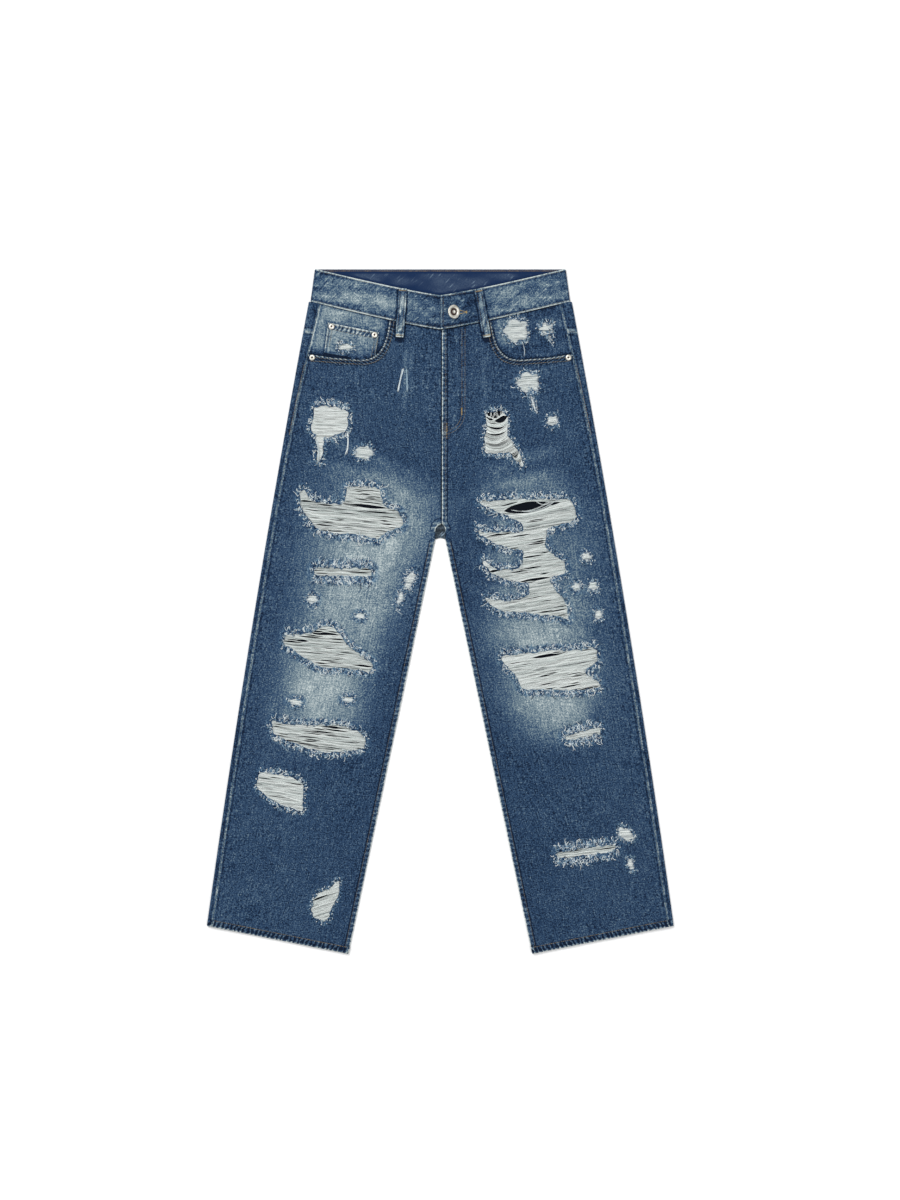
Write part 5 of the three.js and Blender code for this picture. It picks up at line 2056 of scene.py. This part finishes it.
@dataclass
class Stitching:
    """The visible stitch rows, as short raised lengths of thread."""

    cut: Cut
    radius: float = 0.4

    def row(self, line: SeamLine) -> Shell:
        """A row's stitches: places a step apart along the line, each an arch of four points."""
        run = length_along(line.points)
        at = np.arange(line.pitch / 2, run[-1] - line.length / 2, line.pitch)[:, None]
        s = at + line.length * np.array([-0.5, -0.28, 0.28, 0.5])
        x, y = (np.interp(s, run, line.points[:, k]) for k in (0, 1))
        z = self.surface(line.on, x, y) + np.array([-0.15, 0.18, 0.18, -0.15])
        tint = np.clip(line.tint + Grain(71).at(x, y, 5.0) * 0.18, 0, 1)
        radius = self.radius * np.array([0.55, 1, 1, 0.55]) + 0 * x
        return tubes(coords(x, y, z), radius, 4, {"tint": tint})

    def surface(self, on: On | float, x: Array, y: Array) -> Array:
        """The upper side of the cloth that a row is on."""
        if on is On.FRONT:
            return self.cut.front_top(x, y) + 0.4 * self.cut.turned_up(x, y)
        if isinstance(on, On):
            return self.cut.facing_height(x, y) + on.value
        return np.full(x.shape, on)

    def leg_rows(self, side: int) -> list[SeamLine]:
        """The rows on one leg: inseam, hem, pocket opening, yoke and side seams."""
        cut = self.cut
        y = np.linspace(104, -505, 90)
        hem = lerp(np.array([139.0, -503.2]), np.array([340.0, -463.0]), np.linspace(0, 1, 30)[:, None])
        lines = [
            SeamLine(coords((cut.inner_edge(y) + 6.4) * side, y), tint=0.3),
            SeamLine(hem * (side, 1), tint=0.45),
        ]
        for off in (1.8, 6.6):
            inside = cut.opening(side, off).points[:16]
            last = [cut.side_seam(inside[-1, 1]) * side - side * 1.5, 383.5 - off * 1.2]
            lines.append(SeamLine(np.vstack([inside[:-1], last]), tint=0.42))
        yoke_x = np.array([cut.side_seam(419) + 1.5, cut.outer_edge(419) - 2.5])
        lines.append(SeamLine(coords(yoke_x * side, cut.yoke_side + 2.0), On.STRIP, 0.4, 2.6, 1.9))
        y = np.linspace(370, 262, 30)
        lines.append(SeamLine(coords((cut.side_seam(y) + 2.2) * side, y), On.STRIP, 0.5, 3.0, 2.2))
        return lines

    def bar(
        self, centre: Pair, half: float, angle: float, on: On | float, tint: float, rows: int
    ) -> list[SeamLine]:
        """A bar tack: close short stitches side by side across a line.

        Args:
            centre: its middle.
            half: half its length.
            angle: its direction, in degrees.
            on: the cloth or the height it is on.
            tint: the thread's tint.
            rows: its number of stitches.
        Returns:
            One line for each stitch.
        """
        step = np.array([math.cos(math.radians(angle)), math.sin(math.radians(angle))])
        reach = 1.25 * quarter_turn(step)
        middles = centre + np.linspace(-half, half, rows)[:, None] * step
        return [SeamLine(np.stack([m - reach, m + reach]), on, tint, 2.2, 2.2) for m in middles]

    def fly_rows(self) -> list[SeamLine]:
        """The rows down the front's middle and round the fly, with its bar tacks."""
        curve = np.linspace(0, np.pi / 2, 12)
        lines = [SeamLine(coords(8.2, np.linspace(418, 136, 60)), tint=0.35)]
        for off in (0.0, 4.6):
            straight = coords(37 - off, np.linspace(424, 300, 30))
            bend = coords(6 + (31 - off) * np.cos(curve), 300 - (34 - off) * np.sin(curve))
            lines.append(SeamLine(np.vstack([straight, bend])))
        lines += self.bar((32, 300), 5, 90, On.FRONT, 0.85, 9)
        for x, tint, rows in ((5.5, 0.3, 13), (9.5, 0.75, 10), (13.0, 0.1, 8)):
            lines += self.bar((x, 274 - 0.3 * x), 11, 90, On.FRONT, tint, rows)
        return lines

    def band_rows(self) -> list[SeamLine]:
        """The rows on the waistband, and the buttonhole's thread."""
        cut = self.cut
        lines = []
        for side, end, centre, lap in ((-1, 3, 1, 0), (1, 4, 2, 52)):
            for s in (0.045, 0.955):
                x, y = cut.on_band(np.linspace(190, end, 80) / cut.band_half, s)
                line = coords(x * side, y)[x > centre]
                away = np.abs(line[:, 0])
                lines.append(SeamLine(line[away > lap], 5.25, 0.32, 3.2, 2.4))
                if side > 0:
                    lines.append(SeamLine(line[away < 39], 7.65, 0.32, 3.2, 2.4))
        lines.append(SeamLine(coords(np.linspace(-182, 182, 90), 510.6), 2.05, 0.7))
        lines.append(SeamLine(np.array([[4.2, 472.0], [4.2, 427.0]]), 7.65, 0.3, 3.2, 2.4))
        hole = [[23, 452.0], [30, 451.0], [38, 449.0], [39, 448.5], [38, 448.0], [30, 446.0], [23, 445.0]]
        lines.append(SeamLine(np.array(hole), 7.7, 0.85, 0.9, 1.1))
        return lines + self.bar((39.2, 448.5), 1.6, 90, 7.8, 0.8, 5)

    def loop_rows(self) -> list[SeamLine]:
        """Two rows down each belt loop and a bar tack across each end."""
        lines = []
        for top, bottom in self.cut.loops:
            a, b = np.array(top, float), np.array(bottom, float)
            down = unit(b - a)
            across = quarter_turn(down)
            angle = math.degrees(math.atan2(across[1], across[0]))
            for off in (-3.6, 3.6):
                ends = np.stack([a + across * off + down * 8, b + across * off - down * 7])
                lines.append(SeamLine(ends, 8.9, 0.25, 3.0, 2.2))
            for end in (a + down * 3.0, b - down * 3.0):
                lines += self.bar(end, 5.0, angle, 8.35, 0.55, 11)
        return lines

    def pocket_rows(self, corners: Array) -> list[SeamLine]:
        """The coin pocket's rows: double along its hem and down both sides."""
        a, b, c, d = corners
        rows = [(lerp(a, c, v) + (2, 0), lerp(b, d, v) - (2, 0)) for v in (0.055, 0.21)]
        for p, q, step in ((a, c, 1.8), (a, c, 6.0), (b, d, -1.8), (b, d, -6.0)):
            rows.append((p + (step, -9), lerp(p, q, 0.86) + (step, 0)))
        return [SeamLine(np.stack(row), On.COIN, 0.35, 2.8, 2.1) for row in rows]

    def made(self, name: str, lines: list[SeamLine], material: Material) -> Object:
        """One piece of all these rows."""
        return Shell.joined([self.row(line) for line in lines]).piece(name, material, "weft_threads")


# ---- Metal ----


@dataclass
class Hardware:
    """The button and the rivets."""

    button_profile: tuple[Pair, ...] = (
        (0, 0), (2.1, 0), (2.1, 7.6), (8.6, 7.75), (9.9, 8.1), (10.4, 8.6), (10.5, 9.1), (10.3, 9.6),
        (9.8, 10.0), (9.0, 10.25), (8.1, 10.3), (7.2, 10.1), (6.4, 9.7), (5.8, 9.1), (5.4, 8.75),
        (4.6, 8.6), (3.7, 8.65), (3.2, 9.0), (2.7, 9.3), (1.9, 9.4), (1.4, 9.1), (0.8, 8.9), (0, 8.85),
    )
    rivet_profile: tuple[Pair, ...] = (
        (0, 0), (4.4, 0), (4.5, 0.35), (4.35, 0.75), (3.9, 1.15), (3.2, 1.45), (2.5, 1.58),
        (1.9, 1.55), (1.55, 1.3), (1.3, 0.95), (0.7, 0.85), (0, 0.9),
    )
    tilt: float = 34.0
    button_at: tuple[float, float, float] = (15.5, 448.5, 6.7)
    rivets: tuple[tuple[str, tuple[float, float, float]], ...] = (
        ("pocket_left", (192, 380.5, 6.4)),
        ("pocket_right", (-192, 380.5, 6.4)),
        ("coin_outer", (-163, 427, 6.3)),
        ("coin_inner", (-98.5, 414.5, 6.3)),
    )

    def button(self, material: Material) -> Object:
        """The button: its profile spun round, leaned over and put in its hole."""
        profile = np.array(self.button_profile, float)
        shell = turned(profile, 56, {"radius": profile[:, 0]})
        c, s = math.cos(math.radians(self.tilt)), math.sin(math.radians(self.tilt))
        x, y, z = shell.points.T
        shell.points = coords(x * c + z * s, y, z * c - x * s) + self.button_at
        return shell.piece("button_cap", material, "nickel", "button")

    def rivet_caps(self, material: Material) -> list[Object]:
        """The four rivets."""
        profile = np.array(self.rivet_profile, float)
        pieces = []
        for name, place in self.rivets:
            shell = turned(profile, 32, {"radius": profile[:, 0]})
            shell.points = shell.points + place
            pieces.append(shell.piece(f"rivet_cap_{name}", material, "nickel", f"rivet_{name}"))
        return pieces


# ---- Studio ----


@dataclass
class Studio:
    """The pale floor, the soft lights and the camera straight above."""

    lens: float = 100.0
    sensor: float = 36.0
    frame_height: float = 1.8
    aim: Pair = (0.01455, 0.01725)

    def made(self, floor_material: Material) -> None:
        """Builds the floor, the lights and the camera."""
        size = 6.0
        corners = np.array([[-1, -1], [1, -1], [1, 1], [-1, 1]]) * size / MM
        points = np.column_stack([corners, np.full(4, -0.2)])
        floor = Shell(points, [np.array([[0, 1, 2, 3]])]).mesh("floor", floor_material)
        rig.stage(floor)
        scene = bpy.context.scene
        scene.view_settings.view_transform = "Standard"
        world = bpy.data.worlds.new("pale_room")
        world.use_nodes = True
        world.node_tree.nodes["Background"].inputs["Color"].default_value = (1, 1, 1, 1)
        world.node_tree.nodes["Background"].inputs["Strength"].default_value = 0.58
        scene.world = world
        for name, place, power, width in (
            ("key_light", (-1.7, 2.0, 4.0), 150.0, 2.6),
            ("fill_light", (2.4, -1.2, 3.8), 50.0, 3.0),
        ):
            light = bpy.data.lights.new(name, "AREA")
            light.energy, light.size = power, width
            lamp = bpy.data.objects.new(name, light)
            lamp.location = place
            lamp.rotation_mode = "QUATERNION"
            lamp.rotation_quaternion = (-lamp.location).to_track_quat("-Z", "Y")
            lamp.visible_camera = False
            scene.collection.objects.link(lamp)
        data = bpy.data.cameras.new("camera")
        data.lens, data.sensor_width, data.sensor_fit = self.lens, self.sensor, "AUTO"
        camera = bpy.data.objects.new("camera", data)
        camera.location = (*self.aim, self.frame_height * self.lens / self.sensor)
        scene.collection.objects.link(camera)
        scene.camera = camera


# ---- Assembly ----


def declare(sheets: list[Declared]) -> None:
    """Rides each sheet of cloth and what is on it, and states its cut."""
    for sheet in sheets:
        for piece in [sheet.piece, *sheet.extras]:
            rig.ride(piece, "root")
            LOG.info("%s: %d faces", piece.name, len(piece.data.polygons))
        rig.sheet(
            sheet.piece,
            flat=sheet.flat,
            held="laid",
            rests_on=sheet.rests_on,
            area=sheet.area,
            with_pieces=sheet.extras,
        )


def main() -> None:
    """Builds every piece, in order, and states what each is."""
    logging.basicConfig(level=logging.INFO, format="%(name)s: %(message)s")
    cad_box = [list(corner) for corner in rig.bounds()]
    cut = Cut()
    denim = DenimFinish("denim").made()
    facing = DenimFinish("faded_denim").made()
    band_denim = DenimFinish("band_denim", lining="#172b4c", rope=0.05, edge=0.42, strokes=0.2).made()
    # The ramp's darker end colours the threads painted dark as shadow lines between bundles.
    weft = YarnFinish("pale_weft", ("#3f474a", "#889192", "#bfc8c6", "#e6ebe9")).made()
    blues = ("#1d3350", "#43658a", "#86a3b6", "#e8eeed")
    curled = YarnFinish("curled_ends", blues, (0.0, 0.3, 0.6, 1.0)).made()
    sewing = YarnFinish("sewing_thread", ("#41474f", "#6f6c64", "#a08a62", "#d4b66c")).made()
    nickel = MetalFinish("nickel_button", core=5.6, boss=2.6).made()
    rivet_metal = MetalFinish("nickel_rivet", core=1.4).made()

    panels, backs, threads = LegPanels(cut), BackPanels(cut), WeftThreads(cut)
    pockets, fringe, stitching = Pockets(cut, panels), Fringe(cut), Stitching(cut)
    fronts = {side: panels.panel(side, denim) for side in (1, -1)}
    sheets = [made(side, denim) for side in (1, -1) for made in (backs.leg, backs.yoke)]
    facings = {side: pockets.facing(side, facing) for side in (1, -1)}
    coin = pockets.coin_pocket(facing)
    belt = Waistband(cut).made(band_denim)
    loop_sheets = BeltLoops(cut).made(band_denim)
    for side, front in fronts.items():
        name = word(side)
        spots = [s for s in SPOTS if np.sign(s.centre[0]) == side]
        front.extras += threads.in_rips(side, weft)
        front.extras.append(threads.on_spots(f"weft_spots_{name}", spots, weft))
        front.extras += fringe.made(side, spots, curled)
        front.extras.append(stitching.made(f"stitches_leg_{name}", stitching.leg_rows(side), sewing))
    fronts[1].extras.append(stitching.made("stitches_fly", stitching.fly_rows(), sewing))
    for sheet, name, spots, lift in (
        (facings[1], "facing", FACING_SPOTS, -1.5), (coin, "coin_pocket", COIN_SPOTS, 0.0),
    ):
        sheet.extras.append(threads.on_spots(f"weft_{name}", spots, weft))
        sheet.extras.append(fringe.on_pocket(f"fringe_{name}", spots, lift, curled))
    rows = stitching.pocket_rows(pockets.corners())
    coin.extras.append(stitching.made("stitches_coin_pocket", rows, sewing))
    belt.extras.append(stitching.made("stitches_waistband", stitching.band_rows(), sewing))
    loop_sheets[0].extras.append(stitching.made("stitches_belt_loops", stitching.loop_rows(), sewing))
    hardware = Hardware()
    for piece in [hardware.button(nickel), *hardware.rivet_caps(rivet_metal)]:
        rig.ride(piece, "root")
        LOG.info("%s: %d faces", piece.name, len(piece.data.polygons))
    tape = frame["nodes"]["zip"]
    tape.data.materials.clear()
    tape.data.materials.append(TapeFinish().made())
    declare([*sheets, *fronts.values(), *facings.values(), coin, belt, *loop_sheets])
    Studio().made(FloorFinish().made())
    bpy.context.view_layer.update()
    with open("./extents.json", "w") as out:
        json.dump({"cad": cad_box, "visual": [list(corner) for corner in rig.bounds()]}, out)


if __name__ == "__main__":
    main()
